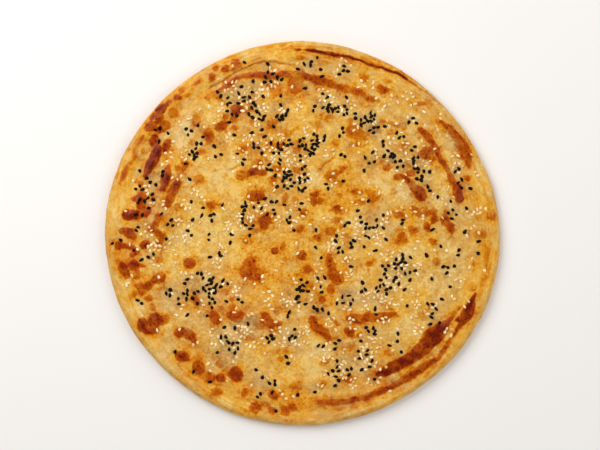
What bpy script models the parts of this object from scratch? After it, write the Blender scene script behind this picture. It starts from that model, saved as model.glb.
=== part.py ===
"""Paratha flatbread: a coiled rope of layered dough, pressed flat, rolled out round and browned on a hot plate.

It is one closed solid. Frame: metres, +Z up, origin under the middle of the bread on the surface that it
lies on. Bearings are in degrees, anticlockwise from +X, and radii are measured from the middle.
"""

from math import atan2, cos, degrees, exp, hypot, pi, radians, sin

import bmesh
import bpy

# The round of dough
MEAN_RADIUS = 0.1244
EDGE_WAVES = (  # waves round the edge, how far each swings out, and the bearing of its first crest
    (2, 0.0018, 351),
    (3, 0.0007, 338),
    (4, 0.0006, 354),
)

# Its thickness, from the table up
MIDDLE_THICKNESS = 0.0064
RIM_THICKNESS = 0.0072
RIM_WIDTH = 0.016  # the band inside the edge that the rolling pin left thicker
SHOULDER = 0.0056  # how far in from the edge the top starts to round over
EDGE_HEIGHT = 0.0027  # of the widest point of the side
UNDERCUT = 0.0022  # how far the side draws in below its widest point
SWELL = 0.0004  # slow rise and fall of the top
SWELL_LENGTH = 0.062

# The turns of the coiled rope, which show as low ridges and die away towards the middle
TURN_PITCH = 0.0125
TURN_HEIGHT = 0.0007
TURNS_BEGIN = 0.060  # the radius inside which the pin has pressed the coil smooth
TURNS_FULL = 0.105
TURNS_CREST = 40  # the bearing of the side where the turns stand out most
TURNS_LEAST = 0.25  # what is left of them on the opposite side

# Folds that stand proud: first and last bearing, the radius at each, half width and height
FOLDS = (
    (61, 125, 0.097, 0.106, 0.0040, 0.0009),  # second turn, far side
    (42, 93, 0.114, 0.117, 0.0030, 0.0006),  # rim fold, far right
    (94, 136, 0.115, 0.117, 0.0050, 0.0007),  # rim fold, far left
    (10, 40, 0.100, 0.101, 0.0040, 0.0010),  # second turn, right
    (20, 40, 0.114, 0.115, 0.0040, 0.0008),  # rim turn, right
    (-63, -30, 0.104, 0.109, 0.0052, 0.0014),  # broad scorched fold, near right
    (-86, -20, 0.109, 0.119, 0.0030, 0.0009),  # rim fold, near right
    (145, 161, 0.108, 0.107, 0.0050, 0.0013),  # broad scorched fold, left
    (151, 168, 0.093, 0.090, 0.0050, 0.0011),  # third turn, left
    (133, 150, 0.121, 0.119, 0.0040, 0.0007),  # rim turn, left
)

# Steam blisters: bearing, radius, width and height
BLISTERS = (
    (211, 0.111, 0.018, 0.0013),  # the big pair by the near left edge
    (221, 0.098, 0.015, 0.0010),
    (226, 0.110, 0.012, 0.0010),
    (245, 0.101, 0.013, 0.0011),
    (195, 0.075, 0.010, 0.0010),
    (163, 0.026, 0.010, 0.0009),
    (268, 0.015, 0.010, 0.0011),
    (249, 0.062, 0.015, 0.0011),
    (232, 0.068, 0.013, 0.0009),
    (281, 0.058, 0.012, 0.0009),
    (288, 0.068, 0.012, 0.0009),
    (142, 0.038, 0.012, 0.0009),
    (29, 0.072, 0.012, 0.0012),
    (20, 0.079, 0.012, 0.0012),
    (62, 0.105, 0.012, 0.0009),
    (118, 0.090, 0.011, 0.0010),
    (127, 0.086, 0.011, 0.0009),
    (134, 0.085, 0.012, 0.0009),
    (215, 0.043, 0.016, 0.0008),
    (305, 0.034, 0.016, 0.0009),
    (186, 0.114, 0.014, 0.0010),
    (195, 0.117, 0.014, 0.0009),
)

# How finely the solid is faceted
SEGMENTS = 120
SIDE_STEPS = 4
SHOULDER_STEPS = 3
TOP_STEPS = 29

CRUST_COLOUR = (0.70, 0.38, 0.09, 1.0)
CRUST_ROUGHNESS = 0.55


def edge_radius(bearing):
    """Radius of the bread's edge at a bearing: a circle with a few slow waves."""
    return MEAN_RADIUS + sum(
        swing * cos(waves * radians(bearing - crest)) for waves, swing, crest in EDGE_WAVES
    )


def eased(share):
    """0 to 1 with a level start and end."""
    share = min(1.0, max(0.0, share))
    return share * share * (3 - 2 * share)


def fold_height(bearing, radius):
    """Height that the folds add: each is a bell across its arc, tapering out at both ends."""
    total = 0.0
    for first, last, first_radius, last_radius, half_width, height in FOLDS:
        along = ((bearing - first + 180) % 360 - 180) / (last - first)
        if not -0.15 < along < 1.15:
            continue
        taper = eased((along + 0.15) / 0.3) * eased((1.15 - along) / 0.3)
        centre = first_radius + (last_radius - first_radius) * along
        total += height * taper * exp(-(((radius - centre) / half_width) ** 2))
    return total


def blister_height(x, y):
    """Height that the blisters add: a round cap each, where the steam lifted the skin."""
    total = 0.0
    for bearing, radius, width, height in BLISTERS:
        away = hypot(x - radius * cos(radians(bearing)), y - radius * sin(radians(bearing)))
        total += height * exp(-((2 * away / width) ** 2))
    return total


def turn_height(bearing, radius):
    """Height that the coil adds: a cosine ridge for each turn of a spiral, faded out towards the middle."""
    turns = (MEAN_RADIUS - radius) / TURN_PITCH + bearing / 360
    fade = eased((radius - TURNS_BEGIN) / (TURNS_FULL - TURNS_BEGIN))
    side = TURNS_LEAST + (1 - TURNS_LEAST) * (0.5 + 0.5 * cos(radians(bearing - TURNS_CREST)))
    return TURN_HEIGHT * fade * side * 0.5 * cos(2 * pi * turns)


def top_height(bearing, radius):
    """Height of the top, without the rounding of its shoulder."""
    x, y = radius * cos(radians(bearing)), radius * sin(radians(bearing))
    rim = eased(1 - (edge_radius(bearing) - radius) / RIM_WIDTH)
    swell = SWELL * sin(2 * pi * x / SWELL_LENGTH + 1) * cos(2 * pi * y / SWELL_LENGTH)
    base = MIDDLE_THICKNESS + (RIM_THICKNESS - MIDDLE_THICKNESS) * rim + swell
    return base + turn_height(bearing, radius) + fold_height(bearing, radius) + blister_height(x, y)


def side_place(bearing, step):
    """Radius and height on the side, from the underside up to its widest point: a quarter of an ellipse."""
    angle = pi / 2 * step / SIDE_STEPS
    return edge_radius(bearing) - UNDERCUT * (1 - sin(angle)), EDGE_HEIGHT * (1 - cos(angle))


def shoulder_place(bearing, step):
    """Radius and height on the shoulder, from the side's widest point up to the top: a quarter of an ellipse."""
    angle = pi / 2 * step / SHOULDER_STEPS
    radius = edge_radius(bearing) - SHOULDER * (1 - cos(angle))
    crown = top_height(bearing, edge_radius(bearing) - SHOULDER)
    return radius, EDGE_HEIGHT + (crown - EDGE_HEIGHT) * sin(angle)


def top_place(bearing, step):
    """Radius and height on the top, from the shoulder in towards the middle in even steps."""
    radius = (edge_radius(bearing) - SHOULDER) * (1 - step / TOP_STEPS)
    return radius, top_height(bearing, radius)


def move_to(verts, place, step):
    """Moves each vertex along its own bearing to the radius and the height that place() gives there."""
    for vert in verts:
        angle = atan2(vert.co.y, vert.co.x)
        radius, height = place(degrees(angle), step)
        vert.co = (radius * cos(angle), radius * sin(angle), height)


def next_ring(bm, ring, place, step):
    """Extrudes the open ring of edges, and moves the new ring to where place() puts each bearing."""
    made = bmesh.ops.extrude_edge_only(bm, edges=ring)["geom"]
    move_to([part for part in made if isinstance(part, bmesh.types.BMVert)], place, step)
    return [part for part in made if isinstance(part, bmesh.types.BMEdge)]


def bread_mesh():
    """The flat underside is a filled circle, and the side, the shoulder and the top grow from it ring by ring."""
    bm = bmesh.new()
    bmesh.ops.create_circle(bm, cap_ends=True, segments=SEGMENTS, radius=MEAN_RADIUS)
    move_to(bm.verts, side_place, 0)
    ring = list(bm.edges)
    stretches = (
        (side_place, range(1, SIDE_STEPS + 1)),
        (shoulder_place, range(1, SHOULDER_STEPS + 1)),
        (top_place, range(1, TOP_STEPS)),
    )
    for place, steps in stretches:
        for step in steps:
            ring = next_ring(bm, ring, place, step)
    middle = bmesh.ops.contextual_create(bm, geom=ring)["faces"]
    bmesh.ops.poke(bm, faces=middle)
    bmesh.ops.recalc_face_normals(bm, faces=bm.faces)
    mesh = bpy.data.meshes.new("bread")
    bm.to_mesh(mesh)
    bm.free()
    return mesh


def centre_on_origin(mesh):
    """Moves the mesh so that the origin is under the middle of its box."""
    for axis in (0, 1):
        places = [vert.co[axis] for vert in mesh.vertices]
        middle = (min(places) + max(places)) / 2
        for vert in mesh.vertices:
            vert.co[axis] -= middle


def crust_material():
    material = bpy.data.materials.new("crust")
    material.use_nodes = True
    shader = material.node_tree.nodes["Principled BSDF"]
    shader.inputs["Base Color"].default_value = CRUST_COLOUR
    shader.inputs["Roughness"].default_value = CRUST_ROUGHNESS
    shader.inputs["Metallic"].default_value = 0.0
    return material


def main():
    for obj in list(bpy.data.objects):
        bpy.data.objects.remove(obj)
    mesh = bread_mesh()
    centre_on_origin(mesh)
    mesh.materials.append(crust_material())
    mesh.shade_smooth()
    mesh.set_sharp_from_angle(angle=radians(40))
    bread = bpy.data.objects.new("bread", mesh)
    bpy.context.scene.collection.objects.link(bread)


main()
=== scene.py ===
"""A paratha: a round of layered dough, fried until it blisters, with black and white sesame pressed into its top.

Lengths are in millimetres up to the point where a mesh is made, and M turns them to metres. x runs to the
right and y away when the bread is seen from above, from its middle. Bearings are anticlockwise from +x.
"""

import bpy
import numpy as np
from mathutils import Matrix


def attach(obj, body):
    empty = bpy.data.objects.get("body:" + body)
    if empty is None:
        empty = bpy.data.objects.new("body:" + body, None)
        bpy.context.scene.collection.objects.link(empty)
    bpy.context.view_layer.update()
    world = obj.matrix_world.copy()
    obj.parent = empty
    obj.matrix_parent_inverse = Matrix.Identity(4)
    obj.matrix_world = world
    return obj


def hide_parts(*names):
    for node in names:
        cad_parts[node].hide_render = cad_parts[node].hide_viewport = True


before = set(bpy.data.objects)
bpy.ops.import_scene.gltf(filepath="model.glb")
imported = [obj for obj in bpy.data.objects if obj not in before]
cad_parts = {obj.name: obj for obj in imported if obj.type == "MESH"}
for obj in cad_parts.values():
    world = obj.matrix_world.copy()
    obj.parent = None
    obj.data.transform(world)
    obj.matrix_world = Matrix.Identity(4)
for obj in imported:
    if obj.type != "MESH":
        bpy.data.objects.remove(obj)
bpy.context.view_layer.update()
M = 0.001

# ---- The round of dough ------------------------------------------------------------------------------------
# A rope of layered, buttered dough is coiled up flat and rolled out. Its edge follows the frame's solid,
# with small uneven waves, and its rim is left a little thicker, with the turns of the rope showing in it.

EDGE_WAVE = 0.35  # how far the uneven waves of the edge swing
EDGE_HEIGHT = 2.7  # of the widest point of the side
MIDDLE_THICKNESS = 6.2
RIM_THICKNESS = 7.0
RIM_WIDTH = 15
SHOULDER = 5.2  # how far in from the edge the top starts to round over
TURN_PITCH = 12.5
TURN_HEIGHT = 0.35
TURNS_BEGIN, TURNS_FULL = 60, 105  # radii between which the rope's turns start to show


def eased(share):
    """0 to 1 with a level start and end: the cubic 3s^2 - 2s^3 of a share held between 0 and 1."""
    share = np.clip(share, 0, 1)
    return share * share * (3 - 2 * share)


def lumps(x, y, size, seed):
    """Smooth hills and hollows from -1 to 1, about size apart: random heights on a square lattice of that
    pitch, blended across each square by the eased share of the way along x and along y."""
    lattice = np.random.default_rng(seed).uniform(-1, 1, (128, 128))
    column, row = np.floor(x / size).astype(int), np.floor(y / size).astype(int)
    u, v = eased(x / size - column), eased(y / size - row)
    left, right, near, far = column % 128, (column + 1) % 128, row % 128, (row + 1) % 128
    near_side = lattice[left, near] * (1 - u) + lattice[right, near] * u
    far_side = lattice[left, far] * (1 - u) + lattice[right, far] * u
    return near_side * (1 - v) + far_side * v


def solid_outline(node, step=3):
    """The solid's greatest radius in each sector of step degrees, at the sectors' middle bearings."""
    corners = np.empty(len(node.data.vertices) * 3)
    node.data.vertices.foreach_get("co", corners)
    x, y, _ = corners.reshape(-1, 3).T / M
    sector = np.round(np.degrees(np.arctan2(y, x)) / step).astype(int) % (360 // step)
    radii = np.zeros(360 // step)
    np.maximum.at(radii, sector, np.hypot(x, y))
    return radii, step


OUTLINE, OUTLINE_STEP = solid_outline(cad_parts["bread"])


def edge_radius(bearing):
    """Radius of the edge at a bearing: the solid's outline, with small waves added. The waves are read along a
    circle through the lumps, so they meet themselves again after a full turn."""
    x, y = 125 * np.cos(np.radians(bearing)), 125 * np.sin(np.radians(bearing))
    smooth = np.interp(bearing, np.arange(len(OUTLINE)) * OUTLINE_STEP, OUTLINE, period=360)
    return smooth + EDGE_WAVE * (0.7 * lumps(x, y, 16, 11) + 0.5 * lumps(x, y, 6, 12))


# Browned where the dough touched the hot pan. A streak is how dark it is, how far it stands proud, and the
# points along it, each with its half width. Streaks follow the turns of the rope.
STREAKS = (
    # near right: the broad scorched fold, the line outside it, and the rim's own fold
    (0.96, 1.0, ((48.5, -90.6, 1.4), (53, -87.8, 2.9), (60, -84.2, 3.6), (67, -80.4, 3.9), (73, -77, 4.2),
                 (78, -72.5, 4.8), (83, -67, 6.0), (87, -63.4, 5.6), (90.5, -59.5, 3.4), (93.4, -55.8, 1.3))),
    (0.52, 0.2, ((93.4, -55.8, 1.3), (97, -50, 1.3), (100.5, -47.4, 1.0))),
    (0.50, 0.5, ((9, -107.7, 1.3), (21, -107.9, 2.1), (28, -108, 2.0))),
    (0.74, 0.7, ((28, -108, 2.0), (36, -105.6, 2.2), (42, -103.8, 1.8),
                 (48, -101.3, 2.0), (57, -98, 1.8), (65, -93.4, 2.3), (71, -89.4, 2.2), (77, -85.4, 2.2),
                 (82, -82.4, 1.9), (87, -78.9, 1.6), (92, -73, 1.3), (96.4, -66, 1.1), (100, -59.6, 0.9))),
    (1.08, 0.7, ((100.4, -60, 1.1), (102.6, -56, 2.7), (105, -51.4, 3.6), (107.4, -46.5, 2.9), (109.6, -41.5, 1.6),
                 (111, -38, 0.8))),
    # right: the two turns side by side
    (0.80, 0.7, ((75.4, 66.4, 1.3), (78.6, 63.4, 2.2), (81.8, 60, 2.6), (83.4, 56.8, 1.8))),
    (0.72, 0.7, ((83.4, 56.8, 1.8), (85.6, 52.6, 1.6), (89.6, 46.4, 1.9), (93.2, 40, 1.8), (95.4, 34.8, 2.2),
                 (98, 31, 1.6))),
    (0.76, 0.8, ((98.8, 29.6, 2.4), (99.8, 25.8, 2.9), (100.8, 22.4, 2.9))),
    (0.66, 0.6, ((88, 71.7, 0.8), (90.6, 69, 1.7), (94, 67.4, 2.2), (97.4, 63.6, 2.1), (101, 58.8, 2.6),
                 (103.4, 55, 2.4), (105.8, 50.6, 2.4), (106.4, 44.6, 1.3))),
    (0.50, 0.2, ((106, 45, 1.3), (106.6, 42, 1.0))),
    (0.82, 0.6, ((60.8, 36, 2.3), (65, 35.2, 1.9), (68, 32.8, 1.6), (71, 30, 2.6), (74.2, 26.6, 3.6),
                 (76.2, 23.6, 3.2))),
    (0.34, 0.1, ((118.6, -9, 1.2), (118.2, -15, 1.5), (117.3, -20, 1.2))),
    (0.30, 0.1, ((116.4, -27, 0.9), (115, -33, 1.2))),
    (0.38, 0.2, ((50.7, 73, 1.2), (56.7, 71.4, 1.3), (61.3, 69, 1.5), (65, 68.3, 1.9))),
    # far side: the second turn, and the rim's fold filled with brown
    (0.60, 0.7, ((-60.7, 86.4, 1.5), (-57.3, 88.3, 1.8), (-52.7, 91, 1.4), (-46.7, 95.7, 1.5), (-38, 100.8, 1.4),
                 (-28, 101.2, 2.0), (-15, 101, 1.8), (-8, 101.4, 2.2), (0, 100.6, 2.3), (6, 99.6, 1.8))),
    (0.66, 0.7, ((7, 98.6, 1.8), (11.4, 97.2, 3.2), (16, 96.2, 2.2))),
    (0.54, 0.7, ((16, 96.2, 2.2), (22, 94.6, 1.9), (29, 92.4, 2.1), (36, 90.4, 2.1), (40, 88.4, 1.3),
                 (44.6, 86, 1.8), (48, 84, 1.2))),
    (0.80, 0.0, ((3.4, 116.9, 0.6), (8.5, 116.5, 0.9), (15, 115.2, 1.25), (23.6, 113.7, 1.25), (29.8, 112.5, 0.9),
                 (36, 110.8, 0.6))),
    (0.62, 0.0, ((36, 110.8, 0.6), (39, 109.6, 1.0), (44, 107.6, 0.9), (50, 105.6, 0.6))),
    (0.75, 0.0, ((-3.6, 117.5, 0.8), (-1, 117.3, 0.6))),
    (0.78, 0.0, ((52, 106, 1.2), (56.7, 103.4, 0.8), (60.3, 102, 1.1), (64.7, 99.8, 1.0), (66.4, 98.6, 0.5))),
    # left: the two broad scorched folds, and the streaks in the rim
    (1.00, 0.9, ((-92.6, 54, 2.4), (-94.6, 49.5, 3.4), (-96.8, 44.5, 3.2), (-99, 40.5, 2.2), (-101.4, 37.4, 1.3))),
    (0.80, 0.7, ((-86, 41.4, 2.2), (-87.4, 35, 2.9), (-89.6, 28.6, 2.1))),
    (0.74, 0.7, ((-80.2, 32.4, 2.2), (-83.4, 26, 3.4), (-86.8, 18.4, 2.0))),
    (0.55, 0.3, ((-112, 43, 1.2), (-113.5, 39.6, 1.8), (-114.7, 36, 1.8), (-117, 32.5, 0.8))),
    (0.42, 0.2, ((-101.7, 62, 1.2), (-104.3, 58.3, 1.9), (-107, 55.3, 1.9), (-107, 49, 1.2), (-110, 45, 1.2))),
    (0.66, 0.4, ((-92.2, 10.6, 2.2), (-94, 6, 1.9), (-94.6, 2.2, 2.0), (-92.6, -0.4, 1.8), (-88.6, -1.8, 1.4))),
    (0.60, 0.3, ((-115, -8.6, 1.4), (-110.2, -9, 1.7), (-106, -11.2, 1.6), (-109, -14, 1.8))),
    # the rest
    (0.72, 0.6, ((6, -55.4, 2.4), (8.6, -59.6, 2.4), (14, -63, 2.9), (17.2, -67.2, 2.0))),
    (0.64, 0.6, ((29, -54, 1.6), (34, -54, 2.8), (40, -54.4, 3.1), (47, -53.8, 2.9), (53, -52.6, 2.2),
                 (59, -50.6, 1.0))),
    (0.60, 0.6, ((16.5, -14.5, 1.4), (18.4, -20, 2.9), (18.8, -26, 3.4))),
    (0.65, 0.5, ((-80.4, -63.6, 2.0), (-75.6, -63, 3.0), (-70.8, -65.6, 2.8), (-67.8, -70, 1.4))),
    (0.92, 0.5, ((-35.5, 37.8, 1.5), (-29.5, 40.2, 2.8), (-24.4, 39.2, 2.0))),
)

# A spot is x, y, length, width, the bearing that its length lies along, and how dark it is.
SPOTS = (
    # far left
    (-90.6, 79.4, 8, 6, 50, 0.90), (-91.6, 73, 8, 5.5, 70, 0.86), (-96.7, 68, 8.5, 6, 10, 0.86),
    (-87.3, 69.3, 6.6, 6, 0, 0.68), (-90, 66, 6, 4, 0, 0.60), (-95.3, 74, 6, 3.6, 60, 0.66), (-94.4, 59, 7.5, 6.5, 70, 1.00),
    (-87, 56, 8.5, 5.5, 60, 0.82), (-86, 83, 6, 3.2, 40, 0.56), (-80.5, 87, 5.5, 4, 0, 0.66), (-82.3, 77, 6.5, 6, 0, 0.50),
    (-77.3, 92, 5, 3, 30, 0.45), (-73.3, 89, 4, 2.5, 30, 0.35), (-67.3, 96.3, 4, 2.2, 30, 0.48), (-57.7, 100, 5.5, 4.2, 80, 0.75),
    (-55.7, 105, 3.6, 3, 0, 0.60), (-49.3, 105.3, 6, 4, 30, 0.70), (-43, 109.3, 5.5, 4, 10, 0.64), (-42.5, 105.6, 7, 3, 25, 0.50),
    (-68.3, 72.6, 8, 5.8, 70, 0.46), (-42, 79.7, 8, 7, 0, 0.84), (-49.7, 75.3, 4.5, 3.8, 0, 0.50), (-44, 73.3, 5, 4, 0, 0.52),
    (-51.7, 68.7, 8.5, 7, 30, 0.58), (-60, 62.7, 9, 7, 110, 0.56), (-53.3, 85.7, 6.5, 3, -30, 0.36), (-43.3, 67.3, 3.8, 3.6, 0, 0.48),
    (-34.3, 67.7, 3.2, 3, 0, 0.32), (-34, 79, 4.5, 3, 90, 0.20), (-32, 72.7, 3.4, 3, 0, 0.38), (-70.3, 58.7, 3.5, 3, 0, 0.32),
    (-64.7, 51.7, 3.8, 3.2, 0, 0.40), (-102.3, 52.3, 4, 2.6, 80, 0.40), (-74.8, 43.8, 5.4, 5, 0, 0.55), (-78.5, 40, 7, 5, 90, 0.46),
    (-66.6, 34.3, 7, 6.6, 0, 0.48), (-56.2, 40.8, 2.4, 2, 0, 0.35), (-49.6, 36.8, 4.2, 3.8, 0, 0.42), (-58.9, 18.3, 5.4, 5, 0, 0.56),
    (-64.9, 18.6, 2.8, 2.4, 0, 0.36), (-80.2, 17.4, 5, 4.4, 0, 0.42), (-77.8, 9.6, 5, 4, 0, 0.36), (-95.8, 21, 3.4, 3, 0, 0.60),
    (-103.4, 20.5, 12, 7, 80, 0.52), (-103.5, 32, 4.4, 4, 0, 0.80), (-107, 21.5, 5.4, 4.8, 0, 0.90), (-111.4, 12, 8, 7, 0, 1.15),
    (-106, 12, 6.6, 5.6, 0, 0.80), (-100, 13.4, 8.5, 5, 50, 0.76), (-96.6, 2.4, 4, 3.4, 0, 0.62), (-90.7, -5.4, 5.4, 5, 0, 0.66),
    (-113, 1.6, 9.5, 4.4, 8, 0.80), (-110, -1, 9, 6, -30, 0.58), (-117.7, -7.8, 5.4, 5, 0, 0.86),
    (-101, -7, 7, 5.4, 40, 0.80), (-90.5, -16.6, 4.5, 4, 0, 0.44),
    # near left
    (-113.8, -23.4, 11, 6, 118, 0.72), (-107.6, -21, 8, 7, 0, 0.76), (-102.4, -20.8, 4.5, 2.6, -10, 0.50), (-106, -26.4, 6, 4.6, 80, 0.60),
    (-92, -29, 9.5, 7.4, 30, 0.76), (-98.7, -33.7, 6.4, 5.6, 60, 0.70), (-104.7, -34, 6, 5, 0, 0.56), (-102.8, -37.8, 4.4, 4, 0, 0.56),
    (-107.9, -39.7, 5, 3.4, 60, 0.36), (-98.4, -41.6, 4.2, 3.8, 0, 0.68), (-96.5, -46.7, 4.4, 3.8, 0, 0.52), (-101.8, -58.6, 7, 9.5, 0, 0.86),
    (-94.4, -55.6, 9, 10.5, 0, 0.92), (-88, -55, 7, 6.5, 0, 0.60), (-96.6, -62.6, 11, 5, 10, 0.94), (-72.4, -18.9, 8.8, 7.2, 0, 0.76),
    (-76.9, -78.6, 9.2, 7.4, 0, 0.72), (-66.4, -85.4, 9.5, 8, -40, 0.55), (-66.7, -79, 6.5, 5, 0, 0.38), (-52.8, -83.4, 5, 4.6, 0, 0.42),
    (-58.5, -92.4, 6.4, 7, 0, 0.52), (-51.9, -92.3, 6, 5.8, 0, 0.86), (-43, -90, 9, 8.6, 0, 0.82), (-54.7, -101, 7.4, 4.2, 0, 0.52),
    (-36.3, -102.1, 5.2, 4.8, 60, 0.50), (-56, -53.6, 10, 6.6, -60, 0.66), (-52.5, -47.4, 4, 3.4, 0, 0.42), (-42.4, -52.4, 11.4, 7.6, -10, 0.50),
    (-45.2, -51.7, 4.4, 4, 0, 0.62), (-67, -44.6, 9, 5.4, -60, 0.38), (-69.9, -40.3, 4.2, 4, 0, 0.40), (-45.5, -41.6, 3.6, 3.2, 0, 0.42),
    (-45.2, -46.7, 4.8, 4, 0, 0.42), (-49.3, -37.5, 4.4, 4, 0, 0.34), (-34.5, -22.5, 15, 10, 75, 0.54), (-36, -26, 8, 6.5, 0, 0.66),
    (-29.5, -27.5, 6, 5, 0, 0.60), (-35.4, -19, 5, 5, 0, 0.42), (-37, -5, 3.4, 3, 0, 0.60), (-33.8, -67.6, 7.4, 3.2, 0, 0.36),
    # middle
    (-30, 24.4, 11, 7.6, 10, 0.50), (-28.7, 23, 7, 4, 0, 0.78), (-16.7, 41.2, 6.4, 5, 0, 0.56), 
    (-40, 37.3, 7, 7, 0, 0.58), (-3.7, 40.2, 4.6, 3.8, 0, 0.54), (-18, 34.7, 4.2, 3.8, 0, 0.58),
    (-24.4, 8.4, 8, 6.6, 0, 0.60), (-24.4, 5.2, 5, 5, 0, 0.60), (-1.7, 3, 5.6, 5.2, 0, 0.52), (9.3, -2.7, 4.4, 4, 0, 0.68),
    (17.7, 1.4, 7, 5.8, 0, 0.60), (22, 15.7, 5.2, 5.2, 0, 0.66), (22, 9, 4.2, 3.4, 0, 0.42), (1.3, 14, 4.6, 4.4, 0, 0.70),
    (8.4, 24.8, 6, 4, 20, 0.58), (7.2, 20.4, 5, 5, 0, 0.72), (11.8, 20.6, 4, 4.2, 0, 0.50), (19, 37.7, 10.5, 6.6, 15, 0.50),
    (25, 41, 6, 3, 50, 0.46), (33.3, 26.7, 4.4, 3.4, 0, 0.44), (37.4, 26.6, 2.6, 2.4, 0, 0.44), (42, 26.6, 5, 3, 0, 0.42),
    (45.8, 23.4, 8, 7.4, 0, 0.44), (36.7, 20.4, 8, 4, 0, 0.52), (24.2, 31, 3.2, 2.6, 0, 0.34), (24, 24, 3.2, 3, 0, 0.36),
    (42.3, 9.4, 4, 3.8, 0, 0.18), (24.7, 4, 3.6, 3.2, 0, 0.44), (5.3, 7.3, 4, 3.6, 0, 0.26), (-4.3, 22, 4.6, 4, 0, 0.34),
    (-11.6, 22.6, 5.6, 4.4, 50, 0.34), (-17.8, -11.3, 5.2, 5, 0, 0.90), (-12.3, -8.6, 6, 4, 100, 0.38), (-10.7, -17.2, 4, 3.4, 0, 0.42),
    (-0.4, -14.4, 6.6, 6.2, 0, 0.70), (3.3, -23, 5.6, 5, 0, 0.50), (-4, -25.7, 3.4, 2.8, 0, 0.36), (22.6, -28.6, 9, 8.6, 0, 0.56),
    (43, -19.4, 3.6, 3.4, 80, 0.56), (37.3, -20.4, 2.2, 2, 0, 0.36), (4.7, -32, 5.4, 5, 0, 0.36), (28, -1.3, 3.8, 3.2, 0, 0.20),
    (11.9, -42.6, 4.4, 4, 0, 0.60), (18.5, -35.5, 7, 5, 90, 0.48),
    # far side
    (-4.6, 95, 10.5, 10.5, 0, 0.56), (-17, 92, 9, 8, 0, 0.34), (-21.7, 94.4, 4, 4, 0, 0.56), (39, 100, 8, 4, -35, 0.46),
    (51.9, 91.6, 8.4, 5.4, -20, 0.62), (54, 97.4, 7, 2.6, -10, 0.32), (-19.7, 71, 6.2, 5.4, 20, 0.50), (-1.7, 112.4, 6, 3, 0, 0.34),
    (13.7, 109, 8, 3, -10, 0.30), (17.7, 74.3, 4.4, 3.4, 0, 0.50), (9.7, 70.3, 4, 3.6, 0, 0.28), (33.4, 64.6, 12, 9, 0, 0.36),
    (32.7, 66, 4.6, 3.8, 0, 0.62), (39.3, 61.7, 3.4, 3, 0, 0.42), (35.3, 57.8, 4.4, 4, 0, 0.42), (31, 57, 3.6, 3, 0, 0.40),
    (21.7, 58.3, 5.4, 4.6, 0, 0.38), (-14.7, 55, 5, 4, 0, 0.70), (-3.3, 53.4, 4.6, 4, 80, 0.50), (-37.7, 54.3, 4.6, 3.6, 60, 0.48),
    (-27.3, 45.7, 3.8, 3.4, 0, 0.58), (-9, 63.7, 6, 4, 0, 0.30), (30.3, 72.3, 4, 3, 90, 0.36),
    (75.7, 83.4, 5, 3.2, 10, 0.60), (56.3, 65, 4.6, 3.8, 0, 0.38), (65.6, 57.4, 7, 4.6, -30, 0.24), (53.8, 42.3, 4.8, 4.4, 0, 0.60),
    (69, 38, 4.6, 4, 0, 0.52), (79.8, 51.6, 9, 7.5, 10, 0.44), (82.6, 48.6, 6, 4, -40, 0.46), (100, 55, 8, 7, 0, 0.32),
    (102, 49.6, 5.6, 4, 0, 0.50), (105.7, 35, 4.2, 3.8, 0, 0.66), 
    # right
    (58.1, 26.4, 3.4, 3, 0, 0.36), (71.4, 15.6, 5.6, 3.6, -30, 0.46), (74.4, 12.4, 5.2, 4.2, -60, 0.62), (61.4, 11.6, 6.6, 4.6, 10, 0.54),
    (78.7, 12.2, 4.2, 3.8, 0, 0.50), (83.8, 13.7, 5.4, 4, 0, 0.62), (84.7, 8.7, 4.4, 6.4, 0, 0.68), (79.4, 3.8, 4.8, 6.6, 15, 0.66),
    (91.4, 8.4, 6, 7.4, 0, 0.80), (94.4, 3.8, 7.6, 5.2, -60, 0.78), (62.9, -1.6, 5.4, 4.6, 0, 0.68),
    (61.9, -5.8, 7.4, 5, 10, 0.37), (65.5, -4.7, 2.8, 2.6, 0, 0.46), (69.8, 1.5, 4.2, 6, 0, 0.50), (73, 2, 3.8, 3.4, 0, 0.42),
    (84.1, -5.6, 4.8, 4.4, 0, 0.50), (85.8, -17.9, 6, 5.4, 0, 0.60), (86.9, -12.6, 2.2, 2, 0, 0.32), (52.1, -18.3, 4.6, 4, 0, 0.36),
    (121.6, 12, 5.4, 3.6, 80, 0.56), (114, 12, 10, 8, 0, 0.16), (114, -0.6, 9, 6, 0, 0.36), (109.7, -19, 3, 2.6, 80, 0.38),
    (108.5, -34, 6, 5, 0, 0.32), (91.5, 13, 2.4, 4.5, 0, 0.50),
    # near side
    (-23.4, -53, 6.4, 6, 0, 0.64), (-20.2, -57.6, 8, 6.4, -50, 0.68), (-26.6, -59, 6, 5, 60, 0.36), (-15, -57.6, 5, 4, 40, 0.38),
    (-15.8, -49, 7, 4.6, -20, 0.36), (30, -62.6, 8, 5, -35, 0.66), (22, -57.7, 3.8, 3.4, 0, 0.36), (36.8, -64, 3.4, 3, 0, 0.38),
    (56.4, -46.7, 4.4, 4, 0, 0.36), (55.7, -76.1, 5.4, 4.4, 0, 0.32), (31.6, -72.3, 4.4, 4, 0, 0.32), (14, -82.5, 5.8, 5, 0, 0.46),
    (14, -95.8, 4.4, 4, 0, 0.36), (-13, -75.6, 9, 4, 0, 0.36), (-13.7, -80.2, 5, 4, 0, 0.46), (29, -93, 6, 4.4, 0, 0.44),
    (-30.1, -111.3, 7, 6, 0, 0.60), (-19.6, -112.3, 6, 4.6, 0, 0.70), (-11.2, -113.6, 6.4, 7, 0, 0.60),
    (-6, -111.2, 4.6, 4, 0, 0.36), (-18.6, -103.5, 7, 4.6, -30, 0.66), (-36.4, -102.4, 4.4, 5, 0, 0.50), (-24.5, -108.5, 5, 4, 0, 0.34),
    (75.5, -51.5, 4.4, 4, 0, 0.30), (99.2, -55, 4, 3, 0, 0.60), (-6, -97.2, 5.4, 4, 0, 0.26),
)

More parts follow.
